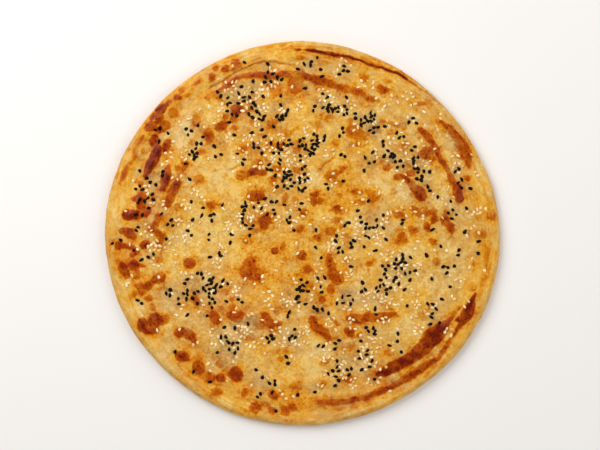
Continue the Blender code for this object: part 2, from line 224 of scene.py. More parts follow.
# Where fat stayed on the dough it fried to a richer gold, and where it blistered thin it is paler and brighter.
# A patch is x, y, how far it reaches, how rich it is and how bright, each from -1 to 1. They fade outwards.
PATCHES = (
    # the rim, round from the right
    (118, 10, 12, 0.8, 0.0), (117, -12, 11, 0.9, 0.2), (111, -33, 11, 1.0, 0.0), (98, -62, 9, 0.6, 0.0), (80, -92, 9, 0.6, 0.2),
    (55, -103, 11, 0.5, 0.1), (0, -112, 13, 0.8, 0.1), (-38, -112, 11, 0.9, 0.1), (-62, -97, 10, 0.4, 0.2), (-92, -82, 14, -0.2, 0.7),
    (-113, -45, 11, 0.4, 0.3), (-119, 15, 12, 0.5, 0.8), (-113, 42, 11, 1.0, 0.0), (-102, 68, 12, 0.9, 0.1), (-78, 92, 11, 0.8, 0.3),
    (-50, 110, 11, 0.7, 0.4), (-12, 117, 14, 0.9, 0.6), (25, 117, 10, -0.3, 0.0), (48, 99, 13, 0.5, 0.5), (86, 90, 11, -0.6, 0.0),
    (113, 58, 11, 0.1, 0.8), (119, 33, 9, 0.6, 0.4),
    (-24, 106, 8, -0.5, -1.0), (-12, 117, 8, 0.4, -0.8), (-20, 119, 8, 0.6, 0.0), (-33, 112, 6, 0.0, 0.4), (-14, 108, 5, -0.5, 0.7),
    (4, 106, 8, -0.9, -0.3), (15, 104, 7, -0.7, 0.0), (25, 109, 8, 0.4, 0.5), (26, 103, 6, 0.0, -0.7), (38, 105, 5, 0.0, -0.3),
    (48, 103, 5, 0.0, 0.3), (60, 95, 8, 0.3, 0.5), (70, 95, 6, 0.0, -0.5), (83, 78, 10, 1.0, -0.4), (99, 42, 6, -0.9, -0.5),
    (112, 34, 7, 0.0, 0.4), (113, 22, 9, 1.3, -0.4), (113, -10, 8, -0.2, -0.3), (111, -24, 7, 1.1, 0.0), (108, -34, 8, 0.0, 0.4),
    (98, -48, 8, 0.0, 0.8), (106, -42, 6, 0.5, 0.0), (52, -105, 8, 0.0, 0.7), (38, -108, 6, 0.0, 0.6), (-5, -105, 10, 1.2, -1.1),
    (0, -110, 7, 0.8, 0.0), (-48, -105, 8, 0.2, 0.6), (-42, -98, 8, 0.9, 0.0), (-70, -90, 11, 1.0, -0.8), (-95, -70, 8, 0.7, -0.4),
    (-105, -49, 8, -0.6, 1.0), (-116, -14, 6, 0.6, -1.2), (-118, 7, 5, 0.0, 0.7), (-114, 22, 8, 0.2, 0.8), (-108, 33, 9, 0.8, 0.8),
    (-107, 39, 5, -1.2, 0.0), (-80, 64, 9, -1.4, 0.7), (-65, 92, 9, 0.3, 0.3),
    (-20, 118, 7, 0.0, -0.5), (-5, 110, 7, 0.0, -0.5), (-33, 112, 6, 0.0, 0.4), (15, -111, 8, 0.0, -0.5),
    (28, -105, 6, 0.0, -0.3), (-8, -105, 7, 0.0, -0.5), (-65, -97, 7, 0.0, -0.3), (-105, -48, 7, 0.0, 0.5),
    (-50, -108, 7, 0.0, 0.3), (103, -43, 5, 0.0, 0.5), (115, -35, 6, 0.0, 0.3), (115, 38, 7, 0.0, 0.3),
    (-112, 28, 8, 0.6, 0.0), (-28, 115, 8, 0.6, 0.0), (-12, 113, 6, 0.3, 0.0), (-95, -70, 8, 0.4, 0.0),
    (-45, -108, 7, 0.3, 0.0), (105, -32, 9, 0.4, 0.0), (40, 107, 7, 0.2, 0.0), (102, 10, 7, 0.3, 0.0),
    (68, 98, 7, -0.4, 0.0), (84, 80, 8, -0.6, 0.0), (5, -103, 7, -0.4, 0.0), (30, -108, 7, -0.3, 0.0),
    (-103, 5, 6, -0.4, -0.5), (-104, 2, 5, 0.0, -0.2),
    # far side
    (-40, 86, 13, -0.8, 0.0), (-60, 84, 9, 0.2, 0.8), (-72, 67, 9, -0.5, 0.9), (-90, 60, 9, -0.6, -0.2), (-25, 100, 10, -0.6, 0.0),
    (-40, 62, 9, 0.6, 0.0), (0, 79, 9, 0.4, 1.0), (15, 84, 9, -0.9, 0.0), (5, 67, 12, 0.9, 0.2), (33, 60, 11, 1.0, 0.0),
    (42, 73, 11, -0.9, 0.0), (-12, 53, 12, -0.7, 0.0), (68, 72, 9, -0.3, 0.5), (88, 58, 8, 0.1, 0.5),
    (-42, 91, 8, -0.6, -0.5), (-30, 86, 8, -0.2, -1.2), (-33, 96, 7, 0.0, -0.5), (-20, 86, 7, 0.9, 0.0), (-75, 78, 8, 0.2, 0.4),
    (-61, 74, 7, 0.0, 0.9), (-68, 65, 6, -0.5, -0.8), (-83, 47, 8, 1.0, -1.1), (-56, 53, 9, 0.4, -1.3), (-45, 57, 8, 0.9, 0.0),
    (-28, 57, 10, 0.3, -1.3), (-22, 54, 6, 1.1, 0.0), (-6, 87, 8, 0.0, -0.6), (0, 82, 8, 1.0, -0.6), (7, 79, 8, 0.0, -0.9),
    (11, 90, 9, 0.6, -1.0), (-8, 78, 8, 0.0, -0.9), (-13, 68, 7, 0.0, -0.5), (-2, 71, 8, 0.0, 0.6), (24, 71, 7, 0.3, 0.5),
    (12, 64, 7, -0.5, -0.4), (0, 60, 6, 0.0, -0.7), (37, 81, 8, 0.6, -0.9), (46, 67, 9, -0.4, -1.2), (51, 80, 7, 0.0, 1.3),
    (70, 85, 7, 0.8, -0.5), (87, 79, 6, 0.0, -0.5), (70, 68, 8, 0.0, 0.4), (85, 64, 8, 0.0, 0.7), (52, 63, 8, -0.9, 0.3),
    (95, 55, 8, -0.8, 0.0), (57, 56, 7, 0.0, 0.4), (75, 45, 7, -0.9, -0.9), (66, 51, 7, 0.2, -0.6), (86, 40, 9, 0.6, 0.6),
    (45, 46, 12, 0.0, -1.3), (29, 39, 8, 0.8, -0.9), (19, 50, 11, 0.8, 0.0), (5, 45, 8, 0.7, 0.0), (30, 58, 6, -0.9, 0.0),
    (-30, 82, 7, 0.0, -0.8), (13, 83, 7, 0.0, -0.8), (-42, 92, 6, 0.0, -0.4), (-26, 58, 11, 0.0, -0.8),
    (-58, 54, 8, -0.4, -0.5), (62, 83, 8, 0.0, -0.5), (25, 103, 6, 0.0, -0.3), (66, 68, 7, 0.0, -0.4),
    (50, 70, 6, 0.0, -0.5), (60, 43, 8, -0.4, -0.9), (50, 46, 7, 0.0, -0.5), (74, 52, 6, 0.0, -0.6),
    (-5, 92, 6, 0.0, 0.8), (-82, 57, 9, -0.7, 0.8), (-38, 45, 9, 0.0, 0.8), (-25, 39, 6, 0.0, 0.5),
    (-60, 41, 7, 0.0, 0.4), (-65, 92, 6, 0.0, 0.3), (18, 44, 5, 0.0, 0.6), (45, 86, 6, -0.2, 0.5),
    (82, 72, 9, 0.0, 0.5), (95, 50, 6, 0.0, 0.4), (55, 59, 8, 0.0, 0.5), (38, 59, 7, 0.0, 0.5),
    (-15, 60, 8, 0.9, 0.0), (-5, 66, 8, 0.4, 0.0), (-22, 84, 6, 0.5, 0.0), (-60, 78, 6, 0.4, 0.0),
    (45, 58, 8, 0.8, 0.0), (-72, 73, 8, -0.5, 0.0), (-68, 60, 8, -0.5, 0.0), (-40, 66, 9, -0.6, 0.0),
    (-42, 88, 6, -0.5, 0.0), (5, 93, 8, -0.7, 0.0), (0, 108, 7, -0.4, 0.0), (28, 57, 6, -0.8, 0.0),
    (30, 76, 8, -0.5, -0.2), (40, 88, 7, -0.4, 0.0), (75, 43, 6, -0.3, -0.4), (105, 28, 6, -0.6, 0.0),
    # left and right of the middle
    (-95, 36, 11, -0.8, 0.0), (-100, 13, 9, -0.7, 0.0), (-80, 43, 9, 0.7, 0.0), (-56, 40, 15, 0.0, 1.0), (-42, 28, 11, 0.5, 1.0),
    (-60, 2, 17, -0.1, 1.0), (-76, 12, 11, 0.1, 0.8), (-68, -13, 10, 0.6, 0.5), (-92, -28, 9, 0.2, 0.3), (-30, 7, 11, -0.1, -0.4),
    (60, 47, 9, -0.8, 0.0), (52, 32, 13, 0.2, 1.0), (78, 34, 9, -0.6, 0.3), (87, 20, 8, -0.2, 0.8), (98, 12, 12, -0.6, 0.1),
    (50, 4, 13, -0.9, 0.2), (34, 10, 8, -0.2, 0.8), (70, 7, 10, 0.7, 0.0), (76, -13, 10, 0.0, 0.9), (60, -22, 12, -0.8, 0.0),
    (92, -23, 14, -0.5, 0.3),
    (-42, 46, 8, 0.0, 1.3), (-51, 34, 8, -0.9, 1.2), (-35, 34, 8, 1.3, 0.2), (-73, 36, 10, -0.6, 0.3), (-54, 20, 6, 0.3, -0.5),
    (-53, 12, 10, 0.6, 0.0), (-75, 18, 8, 0.6, 0.0), (-92, 18, 5, -0.8, 0.4), (-85, 8, 8, 0.4, -1.1), (-32, 12, 9, 0.4, -1.3),
    (-82, -4, 8, -0.6, 0.0), (-72, -4, 7, 0.0, 0.9), (-64, -8, 6, 0.8, 0.2), (-80, -20, 12, 0.2, 0.6), (-95, -15, 8, -0.8, -0.5),
    (-60, 2, 8, 0.0, -0.4), (-56, -12, 4, 0.0, -0.7), (-45, -14, 9, 0.3, 1.0), (-45, -25, 7, 1.3, 0.0), (-34, 3, 6, 0.0, -0.5),
    (64, 28, 9, -1.2, 1.1), (92, 30, 8, 0.0, 0.5), (108, 24, 6, 0.0, -0.6), (80, 22, 6, 0.0, -0.4), (45, 33, 8, 0.0, 0.4),
    (50, 13, 7, 0.5, -0.8), (69, 10, 6, 0.0, -1.0), (62, 4, 5, 0.0, 0.8), (48, -7, 9, 0.8, 0.0), (40, 2, 4, -1.2, 0.0),
    (50, -15, 8, -0.2, 0.8), (67, -11, 9, 0.0, 0.9), (75, -6, 6, 0.5, 0.3), (84, -2, 9, 0.0, 0.6), (93, -12, 9, 0.0, 0.6),
    (64, -26, 10, -0.6, -1.0), (76, -20, 6, 1.0, 0.0), (48, -25, 5, 0.0, -0.7), (80, -35, 7, 0.0, 1.1), (75, -41, 9, 1.5, -0.3),
    (62, -42, 9, 0.8, 0.0), (97, 20, 5, -0.5, 0.0),
    (-58, 28, 9, 0.6, 0.0), (-45, 30, 9, 0.6, 0.0), (-32, 30, 9, 0.6, 0.0), (-20, 31, 8, 0.9, 0.0),
    (-86, 6, 6, 0.0, -0.6), (-80, 14, 6, 0.0, -0.4), (-88, 10, 6, 0.3, 0.0), (-100, -11, 6, 0.0, -0.4),
    (-100, 35, 7, -0.2, -0.3), (-36, 2, 9, 0.0, -0.5), (-70, 17, 7, 0.0, -0.3), (-76, 28, 7, -0.7, 0.0),
    (-32, 12, 7, -0.8, 0.0), (-48, 2, 8, -0.4, 0.0), (-90, -22, 8, 0.0, 0.4), (-60, -28, 7, 0.0, 0.4),
    (-50, -25, 9, 0.4, 0.0), (-80, -27, 6, 0.3, 0.0), (88, 32, 8, 0.4, 0.0), (50, 30, 13, 0.3, 0.3),
    (66, 31, 5, 0.0, 0.3), (52, 2, 8, 0.0, -0.6), (48, 12, 8, -0.5, 0.0), (40, 4, 8, -0.5, 0.0),
    (55, -15, 6, 0.2, 0.6), (60, -10, 6, 0.4, 0.0), (80, -3, 8, 0.4, 0.0), (95, -12, 8, 0.3, 0.0),
    (60, -23, 7, 0.0, -0.5), (70, -26, 6, 0.0, -0.4), (90, -10, 10, 0.0, 0.3), (95, 10, 6, 0.0, -0.3),
    (86, -22, 7, -0.3, 0.0),
    # middle
    (30, 26, 15, 1.0, -0.1), (13, 22, 9, 0.9, 0.0), (8, 35, 6, 0.0, 0.8), (-8, 34, 9, -0.8, 0.0), (-35, -10, 14, 1.0, 0.2),
    (-20, -22, 13, 0.9, 0.0), (-8, -6, 12, 0.5, 0.1), (14, -20, 14, 0.5, -0.3), (37, -29, 10, 0.2, 0.7), (12, 8, 8, 0.3, 0.5),
    (10, 34, 8, 0.0, 0.9), (-5, 28, 6, 0.0, -0.5), (-19, 28, 8, 0.0, -0.5), (-22, 20, 6, -1.0, -0.2), (12, 10, 8, 1.0, 0.4),
    (18, 15, 4, 0.5, -0.7), (31, 16, 7, 0.9, 0.0), (-5, 10, 6, -0.7, 0.0), (33, 5, 6, 0.0, 0.5), (-30, -5, 10, 0.7, 0.0),
    (-22, -15, 11, 0.8, 0.0), (-5, 0, 11, 0.8, 0.0), (-16, -6, 6, 0.0, 0.9), (-20, -32, 11, 1.4, 0.0), (-5, -30, 8, 1.1, 0.0),
    (29, -8, 8, -0.4, -0.8), (28, -20, 7, 0.0, -0.6), (28, -28, 7, 0.5, 0.0), (-27, -28, 7, 0.0, -1.0),
    (-12, 29, 6, 0.0, -0.6), (-3, 35, 6, 0.0, -0.5), (14, 20, 9, 0.0, -0.6), (27, -6, 6, 0.0, -0.7),
    (27, -20, 6, 0.0, -0.4), (-12, -20, 8, 0.0, 0.3), (0, -10, 8, 0.0, 0.3), (32, 10, 6, 0.0, 0.3),
    (-38, -12, 8, 0.5, 0.0), (-20, -10, 8, 0.4, 0.0), (25, -30, 7, 0.7, 0.2), (15, -40, 7, 0.5, 0.0),
    (45, -27, 8, 0.5, 0.0), (30, -10, 6, 0.3, 0.0), (22, -8, 5, -0.3, 0.0), (-28, -30, 6, 0.0, -0.3),
    (0, 7, 6, -0.3, 0.0),
    # near side
    (-70, -36, 15, -0.9, -0.5), (-88, -42, 9, -0.6, 0.1), (-46, -70, 11, -0.9, 0.0), (-105, -33, 9, 0.7, -0.2), (-30, -84, 10, 0.1, 0.8),
    (-10, -66, 12, -0.7, 0.1), (5, -84, 12, 0.2, 1.0), (-18, -44, 9, 0.6, 0.0), (35, -42, 11, -0.8, 0.2), (64, -34, 12, -0.1, 0.8),
    (35, -53, 10, 0.6, 0.0), (68, -60, 11, -0.1, 0.8), (84, -50, 10, -0.7, 0.1), (48, -68, 11, -0.6, 0.0), (34, -84, 13, -0.8, -0.2),
    (-25, -93, 9, -0.6, 0.0), (-12, -98, 9, 0.5, 0.2),
    (-72, -30, 6, -0.4, -0.5), (-85, -37, 7, -0.8, -0.8), (-75, -45, 7, 0.7, -0.5), (-54, -40, 6, -0.6, 0.0), (-80, -55, 8, 0.0, 1.0),
    (-68, -51, 8, 0.0, 0.9), (-30, -42, 11, 0.9, 0.0), (-37, -48, 7, 0.0, -1.1), (-34, -57, 8, -1.2, -1.0), (-48, -62, 8, -1.3, 0.0),
    (-54, -70, 8, 0.0, -0.9), (-47, -77, 8, -0.7, -0.5), (-18, -65, 6, 0.0, -0.5), (-6, -67, 9, 0.0, -1.0), (-33, -76, 8, 0.0, 1.0),
    (-25, -73, 8, 1.3, 0.2), (-12, -84, 8, 1.4, 0.0), (-5, -88, 9, 0.2, 0.8), (-27, -89, 8, 0.0, -0.8), (-30, -102, 6, 0.0, -0.5),
    (-12, -33, 7, 0.0, -0.6), (0, -38, 11, 0.0, -1.0), (11, -49, 8, -1.0, -1.2), (20, -48, 7, 1.0, 0.0), (28, -42, 10, -0.7, -1.1),
    (45, -40, 9, -0.5, -0.6), (-8, -45, 7, 0.0, -0.6), (7, -75, 9, -0.4, 1.2), (22, -62, 5, 0.0, -1.0), (22, -82, 8, -0.3, -0.8),
    (31, -78, 9, 0.0, -0.6), (45, -79, 9, 0.0, -0.7), (41, -67, 7, -0.5, -0.6), (53, -71, 6, 0.4, 0.5), (50, -77, 5, 1.0, 0.0),
    (65, -66, 7, 0.2, -0.6), (75, -66, 7, 0.0, 0.7), (82, -49, 7, 0.3, -0.9), (46, -94, 9, 0.0, -1.1), (56, -92, 7, -0.9, -0.4),
    (28, -98, 5, 0.0, -0.7),
    (80, -57, 7, 0.0, -0.9), (13, -50, 6, 0.0, -0.9), (-7, -42, 7, 0.0, -0.4), (-32, -53, 9, 0.0, -0.4),
    (-5, -66, 8, 0.0, -0.4), (-18, -68, 8, 0.0, -0.4), (20, -78, 6, 0.0, -0.3), (42, -91, 9, 0.0, -0.5),
    (-30, -97, 8, 0.0, -0.3), (-73, -46, 8, 0.5, -0.3), (-55, -82, 7, 0.0, 0.4), (-40, -84, 7, 0.0, 0.4),
    (-18, -84, 6, 0.0, 0.4), (5, -90, 6, 0.0, 0.3), (28, -33, 5, 0.0, 0.3), (80, -36, 7, 0.0, 0.4),
    (65, -37, 8, 0.4, 0.0), (65, -52, 6, 0.4, 0.0), (47, -70, 9, 0.8, 0.0), (30, -78, 6, 0.3, 0.0),
    (0, -88, 10, 0.7, 0.0), (-30, -82, 9, 0.4, 0.0), (-60, -62, 7, 0.3, 0.0), (30, -48, 8, -0.5, 0.0),
    (48, -46, 8, -0.5, 0.0), (-40, -58, 9, -0.5, 0.0), (-28, -63, 7, -0.6, 0.0), (-12, -68, 8, -0.4, 0.0),
    (23, -90, 5, -0.5, 0.0), (68, -72, 6, -0.3, 0.0),
)

# All over the near side a faint browning makes the gold rosier, and the thin blisters left of the middle stayed
# greener. A blush is x, y, how far it reaches and how rosy it is, or how green where it is below 0.
BLUSHES = (
    (-50, -36, 26, 0.7), (-80, -60, 20, 0.3), (-28, -52, 20, 0.5), (-20, -16, 18, 0.5), (18, -28, 18, 0.5),
    (20, -52, 16, 0.5), (-72, -90, 20, 0.4), (-35, -98, 20, 0.5), (5, -108, 22, 0.5), (45, -98, 22, 0.5),
    (-104, 20, 12, 0.9), (-110, -14, 12, 0.9), (-90, 56, 12, 0.4), (-76, 86, 14, 0.4), (-55, 108, 14, 0.4),
    (-66, 8, 20, -0.6), (-50, 6, 12, -0.6), (-90, -8, 14, -0.4), (-58, 42, 12, -0.4), (-92, -28, 10, -0.2), (70, -40, 22, -0.3),
    (85, -10, 24, -0.3), (20, 70, 24, -0.3), (100, 30, 16, 0.1),
)

# A fold is how high its outer lip stands, how deep the groove at its foot is (which also sets how much painted shade
# and browning darken the groove), how far the lip takes to die away outwards, and the points along it.
FOLDS = (
    (0.7, 0.8, 7, ((-62, 90.5), (-58.7, 93), (-54.5, 95.6), (-50, 98.3), (-44.7, 102), (-38.5, 105.5), (-31, 108.3),
              (-25, 109.4), (-18.3, 109.6), (-11.7, 109), (-3, 108))),
    (0.6, 0.9, 7, ((-4, 117.8), (5, 117), (17, 115), (28.3, 112.8), (40, 109.2), (52, 105.6), (60.3, 102), (66.4, 98.5),
              (76.7, 91), (83.3, 86.3), (90, 81))),
    (0.35, 0.6, 4, ((-15, 118), (-11, 118.6), (-5.7, 121))),
    (0.35, 0.6, 4, ((-18, 119.5), (-13, 120.6), (-7.7, 122.6))),
    (0.35, 1.1, 9, ((9, 37.6), (11.5, 41), (13.5, 44), (17, 46.5), (20.5, 49.2), (23.4, 51.4))),
    (0.3, 1.1, 8, ((-49, 39.6), (-44, 42), (-36, 45.5))),
    (0.45, 0.3, 6, ((5, -113.5), (27, -112), (40, -109), (55, -104), (70, -97.5), (83, -87), (93, -77))),
    (0.4, 0.15, 6, ((101, -71), (112, -50), (117, -32), (119.3, -12), (120, 6))),
    (0.35, 0.3, 6, ((88, 71.7), (97, 68), (104, 58), (110, 46), (114, 32))),
)


def along_path(x, y, path):
    """Distance from each point to the nearest stretch of a path, on which side of it the point is (+1 on the
    left of the way it runs), and the path's own extra values there, blended between its points."""
    path = np.array(path, float)
    nearest = np.full(np.shape(x), np.inf)
    side = np.zeros_like(nearest)
    extra = np.zeros((path.shape[1] - 2, *np.shape(x)))
    for start, end in zip(path[:-1], path[1:]):
        step = end - start
        share = np.clip(((x - start[0]) * step[0] + (y - start[1]) * step[1]) / (step[:2] @ step[:2]), 0, 1)
        across_x, across_y = x - start[0] - share * step[0], y - start[1] - share * step[1]
        distance = np.hypot(across_x, across_y)
        closer = distance < nearest
        nearest = np.where(closer, distance, nearest)
        side = np.where(closer, np.sign(step[0] * across_y - step[1] * across_x), side)
        blended = start[2:, None] + share[None] * step[2:, None]
        extra = np.where(closer, blended, extra)
    return nearest, side, extra


def ragged(x, y, seed):
    """The points moved by up to about a millimetre by two sizes of lumps, so that marks get ragged outlines."""
    shift_x = 0.8 * lumps(x, y, 6, seed) + 0.3 * lumps(x, y, 2.5, seed + 1)
    shift_y = 0.8 * lumps(x, y, 6, seed + 2) + 0.3 * lumps(x, y, 2.5, seed + 3)
    return x + shift_x, y + shift_y


def spot_gap(x, y, spot):
    """How far outside a spot's ellipse each point is, about, and the ellipse's half width."""
    centre_x, centre_y, length, width, turn, _ = spot
    cos, sin = np.cos(np.radians(turn)), np.sin(np.radians(turn))
    along = ((x - centre_x) * cos + (y - centre_y) * sin) * 2 / length
    across = ((y - centre_y) * cos - (x - centre_x) * sin) * 2 / width
    half = (length + width) / 4
    return (np.hypot(along, across) - 1) * half, half


def mark_layers(x, y, streaks, spots, seed):
    """How far inside a mark each point is (0.5 on its outline), how dark the mark is, its halo, and the rise in
    millimetres. The darkness reaches past the outline, so that the outline itself stays sharp, and the halo
    fades over halo_width. The dough domes up under the mark. Where marks overlap the greatest value counts."""
    edge, past, halo_width, spread = 1.5, 1.6, 6.5, 0.15
    x, y = ragged(x, y, seed)
    layers = np.zeros((4, *np.shape(x)))

    def lay(gap, half, dark, height):
        gap = gap - spread
        inside = eased((edge - gap) / (2 * edge))
        darkness = dark * (0.87 + 0.17 * eased(-gap / 3)) * eased((past + 1.2 - gap) / 1.2)
        halo = min(dark, 0.62) * eased((halo_width - gap) / (halo_width + 1))
        rise = height * eased((1.5 - gap) / (half + 1.5))
        np.maximum(layers, [inside, darkness, halo, rise], out=layers)

    for dark, height, path in streaks:
        distance, _, (half,) = along_path(x, y, path)
        lay(distance - half, half, dark, height)
    for spot in spots:
        gap, half = spot_gap(x, y, spot)
        lay(gap, half, spot[5], 0.12 * min(half, 4))
    return layers


def patch_layers(x, y):
    """Richness, brightness and blush, each about -1 to 1: every patch adds its own, fading as a bell curve."""
    x, y = ragged(x, y, 41)
    x, y = x + 3 * lumps(x, y, 14, 45), y + 3 * lumps(x, y, 14, 46)

    def bell(centre_x, centre_y, reach):
        return np.exp(-((x - centre_x) ** 2 + (y - centre_y) ** 2) / (0.75 * reach) ** 2)

    rich, bright, blush = np.zeros((3, *np.shape(x)))
    for centre_x, centre_y, reach, richness, brightness in PATCHES:
        weight = bell(centre_x, centre_y, reach)
        rich, bright = rich + richness * weight, bright + brightness * weight
    for centre_x, centre_y, reach, rosiness in BLUSHES:
        blush = blush + rosiness * bell(centre_x, centre_y, reach)
    return np.clip(rich, -1.5, 1.5), np.clip(bright, -1.6, 1.6), np.clip(blush, -1.5, 1.5)


def fold_lips(x, y):
    """Height of the folds: on a fold's outer side a lip, dying away outwards, and at its foot a narrow groove.
    Also how deep each point is in a groove, from 0 to 1, which the crust also uses for painted shade and browning
    there."""
    lip_edge, groove_half = 0.5, 0.65
    x, y = ragged(x, y, 71)
    height, groove_depth_and_shade = np.zeros(np.shape(x)), np.zeros(np.shape(x))
    for lip, depth, reach, path in FOLDS:
        distance, side, _ = along_path(x, y, path)
        outward = -1 if path[0][0] * path[1][1] - path[0][1] * path[1][0] > 0 else 1
        signed = distance * side * outward
        ends = np.minimum(*(np.hypot(x - end[0], y - end[1]) for end in (path[0], path[-1])))
        fade = eased(ends / 6)
        height += lip * fade * eased((signed + lip_edge) / (2 * lip_edge)) * np.exp(-((signed / reach) ** 2))
        groove_depth_and_shade = np.maximum(groove_depth_and_shade, depth * fade * np.exp(-((distance / groove_half) ** 2)))
    return height - 0.35 * groove_depth_and_shade, groove_depth_and_shade


def top_layers(x, y):
    """Height of the top in millimetres above the table, then its layers: inside, darkness and halo of its marks,
    how deep it is in a fold's groove (also the strength of the painted shade there), richness, brightness and blush."""
    radius, bearing = np.hypot(x, y), np.degrees(np.arctan2(y, x))
    inset = edge_radius(bearing) - radius
    rim = eased(1 - inset / RIM_WIDTH)
    turns = inset / TURN_PITCH + bearing / 360 + 0.12 * lumps(x, y, 30, 21)
    turn = TURN_HEIGHT * eased((radius - TURNS_BEGIN) / (TURNS_FULL - TURNS_BEGIN)) * np.cos(2 * np.pi * turns)
    swell = 0.35 * lumps(x, y, 34, 22) + 0.22 * lumps(x, y, 14, 23)
    dimples = 0.14 * lumps(x, y, 6.5, 24) + 0.09 * lumps(x, y, 3.2, 25)
    inside, darkness, halo, rise = mark_layers(x, y, STREAKS, SPOTS, 31)
    lips, groove_depth_and_shade = fold_lips(x, y)
    base = MIDDLE_THICKNESS + (RIM_THICKNESS - MIDDLE_THICKNESS) * rim
    full = base + turn + swell + dimples + rise + lips
    rounding = np.sqrt(1 - np.clip(1 - inset / SHOULDER, 0, 1) ** 2)
    height = EDGE_HEIGHT + (full - EDGE_HEIGHT) * rounding
    return height, inside, darkness, halo, groove_depth_and_shade, *patch_layers(x, y)


def ring_of(count, radius_share, inset, bearing_offset=0.0):
    """x, y of count points round the bread: each at a share of the edge's radius there, less an inset."""
    bearing = 360 * (np.arange(count) + bearing_offset) / count
    radius = edge_radius(bearing) * radius_share - inset
    return radius * np.cos(np.radians(bearing)), radius * np.sin(np.radians(bearing))


def stitch(lower_first, lower_count, upper_first, upper_count):
    """Triangles between two rings of points, wound for the side that faces out when upper follows lower. Each
    edge of the ring with more points joins to the nearest point of the other, and each edge of the other to
    the point where the nearest changes."""
    many_first, many, few_first, few = lower_first, lower_count, upper_first, upper_count
    flipped = upper_count > lower_count
    if flipped:
        many_first, many, few_first, few = few_first, few, many_first, many
    edge = np.arange(many)
    nearest = np.floor((edge + 0.5) * few / many + 0.5).astype(int)
    wide = np.stack([many_first + edge, many_first + (edge + 1) % many, few_first + nearest % few], axis=1)
    edge = np.arange(few)
    change = np.ceil((edge + 0.5) * many / few - 0.5).astype(int)
    narrow = np.stack([few_first + (edge + 1) % few, few_first + edge, many_first + change % many], axis=1)
    triangles = np.concatenate([wide, narrow])
    return triangles[:, ::-1] if flipped else triangles


def triangle_mesh(name, points, triangles, values):
    """A mesh object of triangles, from points in millimetres, with named values at its points."""
    mesh = bpy.data.meshes.new(name)
    mesh.vertices.add(len(points))
    mesh.vertices.foreach_set("co", (points * M).astype(np.float32).ravel())
    mesh.loops.add(triangles.size)
    mesh.loops.foreach_set("vertex_index", triangles.astype(np.int32).ravel())
    mesh.polygons.add(len(triangles))
    mesh.polygons.foreach_set("loop_start", np.arange(0, triangles.size, 3, dtype=np.int32))
    mesh.update(calc_edges=True)
    for key, value in values.items():
        mesh.attributes.new(key, "FLOAT", "POINT").data.foreach_set("value", value.astype(np.float32))
    mesh.shade_smooth()
    piece = bpy.data.objects.new(name, mesh)
    bpy.context.scene.collection.objects.link(piece)
    return piece


def bread_surface():
    """Points, their layers and the triangles of the whole bread: rings of points from the middle of the
    underside out, up the side, and over the top to its middle. Rings in the middle hold six points for each
    step out, so that the triangles stay even."""
    side_points, under_rings, side_rings, rim_rings, top_rings = 930, 36, 9, 36, 130
    rim_inset, undercut = 15.5, 2.2
    points, counts = [], []

    def add_ring(*values):
        points.append(np.stack(values))
        counts.append(len(values[0]))

    def add_under(x, y):
        marks = mark_layers(x, y, (), UNDER_SPOTS, 51)[:3]
        bumps = 0.12 * (1 + lumps(x, y, 7, 52)) + 0.1 * (1 + lumps(x, y, 18, 53))
        inset = edge_radius(np.degrees(np.arctan2(y, x))) - undercut - np.hypot(x, y)
        add_ring(x, y, bumps * eased(inset / 6), *marks, *np.zeros((4, len(x))))

    add_under(np.zeros(1), np.zeros(1))
    for ring in range(1, under_rings + 1):
        x, y = ring_of(6 * ring, ring / (under_rings + 1), undercut * ring / (under_rings + 1))
        add_under(x, y)
    for ring in range(side_rings):
        angle = np.pi / 2 * ring / side_rings
        x, y = ring_of(side_points, 1, undercut * (1 - np.sin(angle)))
        bearing = np.arctan2(y, x)
        flake = 0.28 * np.sin(2 * angle) * lumps(bearing * 125, 0 * x, 11, 61 + ring)
        z = EDGE_HEIGHT * (1 - np.cos(angle)) + 0 * x
        halo = 0.35 + 0.3 * lumps(x, y, 9, 60)
        x, y = x + flake * np.cos(bearing), y + flake * np.sin(bearing)
        add_ring(x, y, z, 0 * x, 0 * x, halo, 0 * x, *patch_layers(x, y))
    for ring in range(rim_rings + 1):
        share = ring / rim_rings
        x, y = ring_of(side_points, 1, rim_inset * (0.3 * share * share + 0.7 * share))
        add_ring(x, y, *top_layers(x, y))
    for ring in range(top_rings - 1, 0, -1):
        share = ring / top_rings
        x, y = ring_of(6 * ring, share, rim_inset * share)
        add_ring(x, y, *top_layers(x, y))
    add_ring(np.zeros(1), np.zeros(1), *top_layers(np.zeros(1), np.zeros(1)))
    firsts = np.concatenate([[0], np.cumsum(counts)[:-1]])
    triangles = [stitch(a, m, b, n) for a, m, b, n in zip(firsts, counts, firsts[1:], counts[1:])]
    triangles = np.concatenate(triangles)
    distinct = (triangles != np.roll(triangles, 1, axis=1)).all(axis=1)
    return np.concatenate(points, axis=1), triangles[distinct]


def scattered_spots(count, seed):
    """Spots for the underside, which lay flat on the pan: random places, sizes and depths of brown."""
    draw = np.random.default_rng(seed)
    radius, bearing = 116 * np.sqrt(draw.uniform(0, 1, count)), draw.uniform(0, 2 * np.pi, count)
    length = draw.gamma(3, 2.6, count) + 2
    width = length * draw.uniform(0.5, 1, count)
    columns = radius * np.cos(bearing), radius * np.sin(bearing), length, width
    return np.stack([*columns, draw.uniform(0, 180, count), draw.uniform(0.3, 0.85, count)], axis=1)


UNDER_SPOTS = scattered_spots(110, 54)
layers, bread_triangles = bread_surface()
LAYER_NAMES = "inside", "darkness", "halo", "groove_depth_and_shade", "rich", "bright", "blush"
bread = triangle_mesh("bread", layers[:3].T, bread_triangles, dict(zip(LAYER_NAMES, layers[3:])))


def hex_colour(text):
    """An sRGB hex colour as the linear RGBA that Blender's sockets take."""
    srgb = np.array([int(text[i : i + 2], 16) for i in (0, 2, 4)]) / 255
    linear = np.where(srgb <= 0.04045, srgb / 12.92, ((srgb + 0.055) / 1.055) ** 2.4)
    return (*linear.tolist(), 1.0)


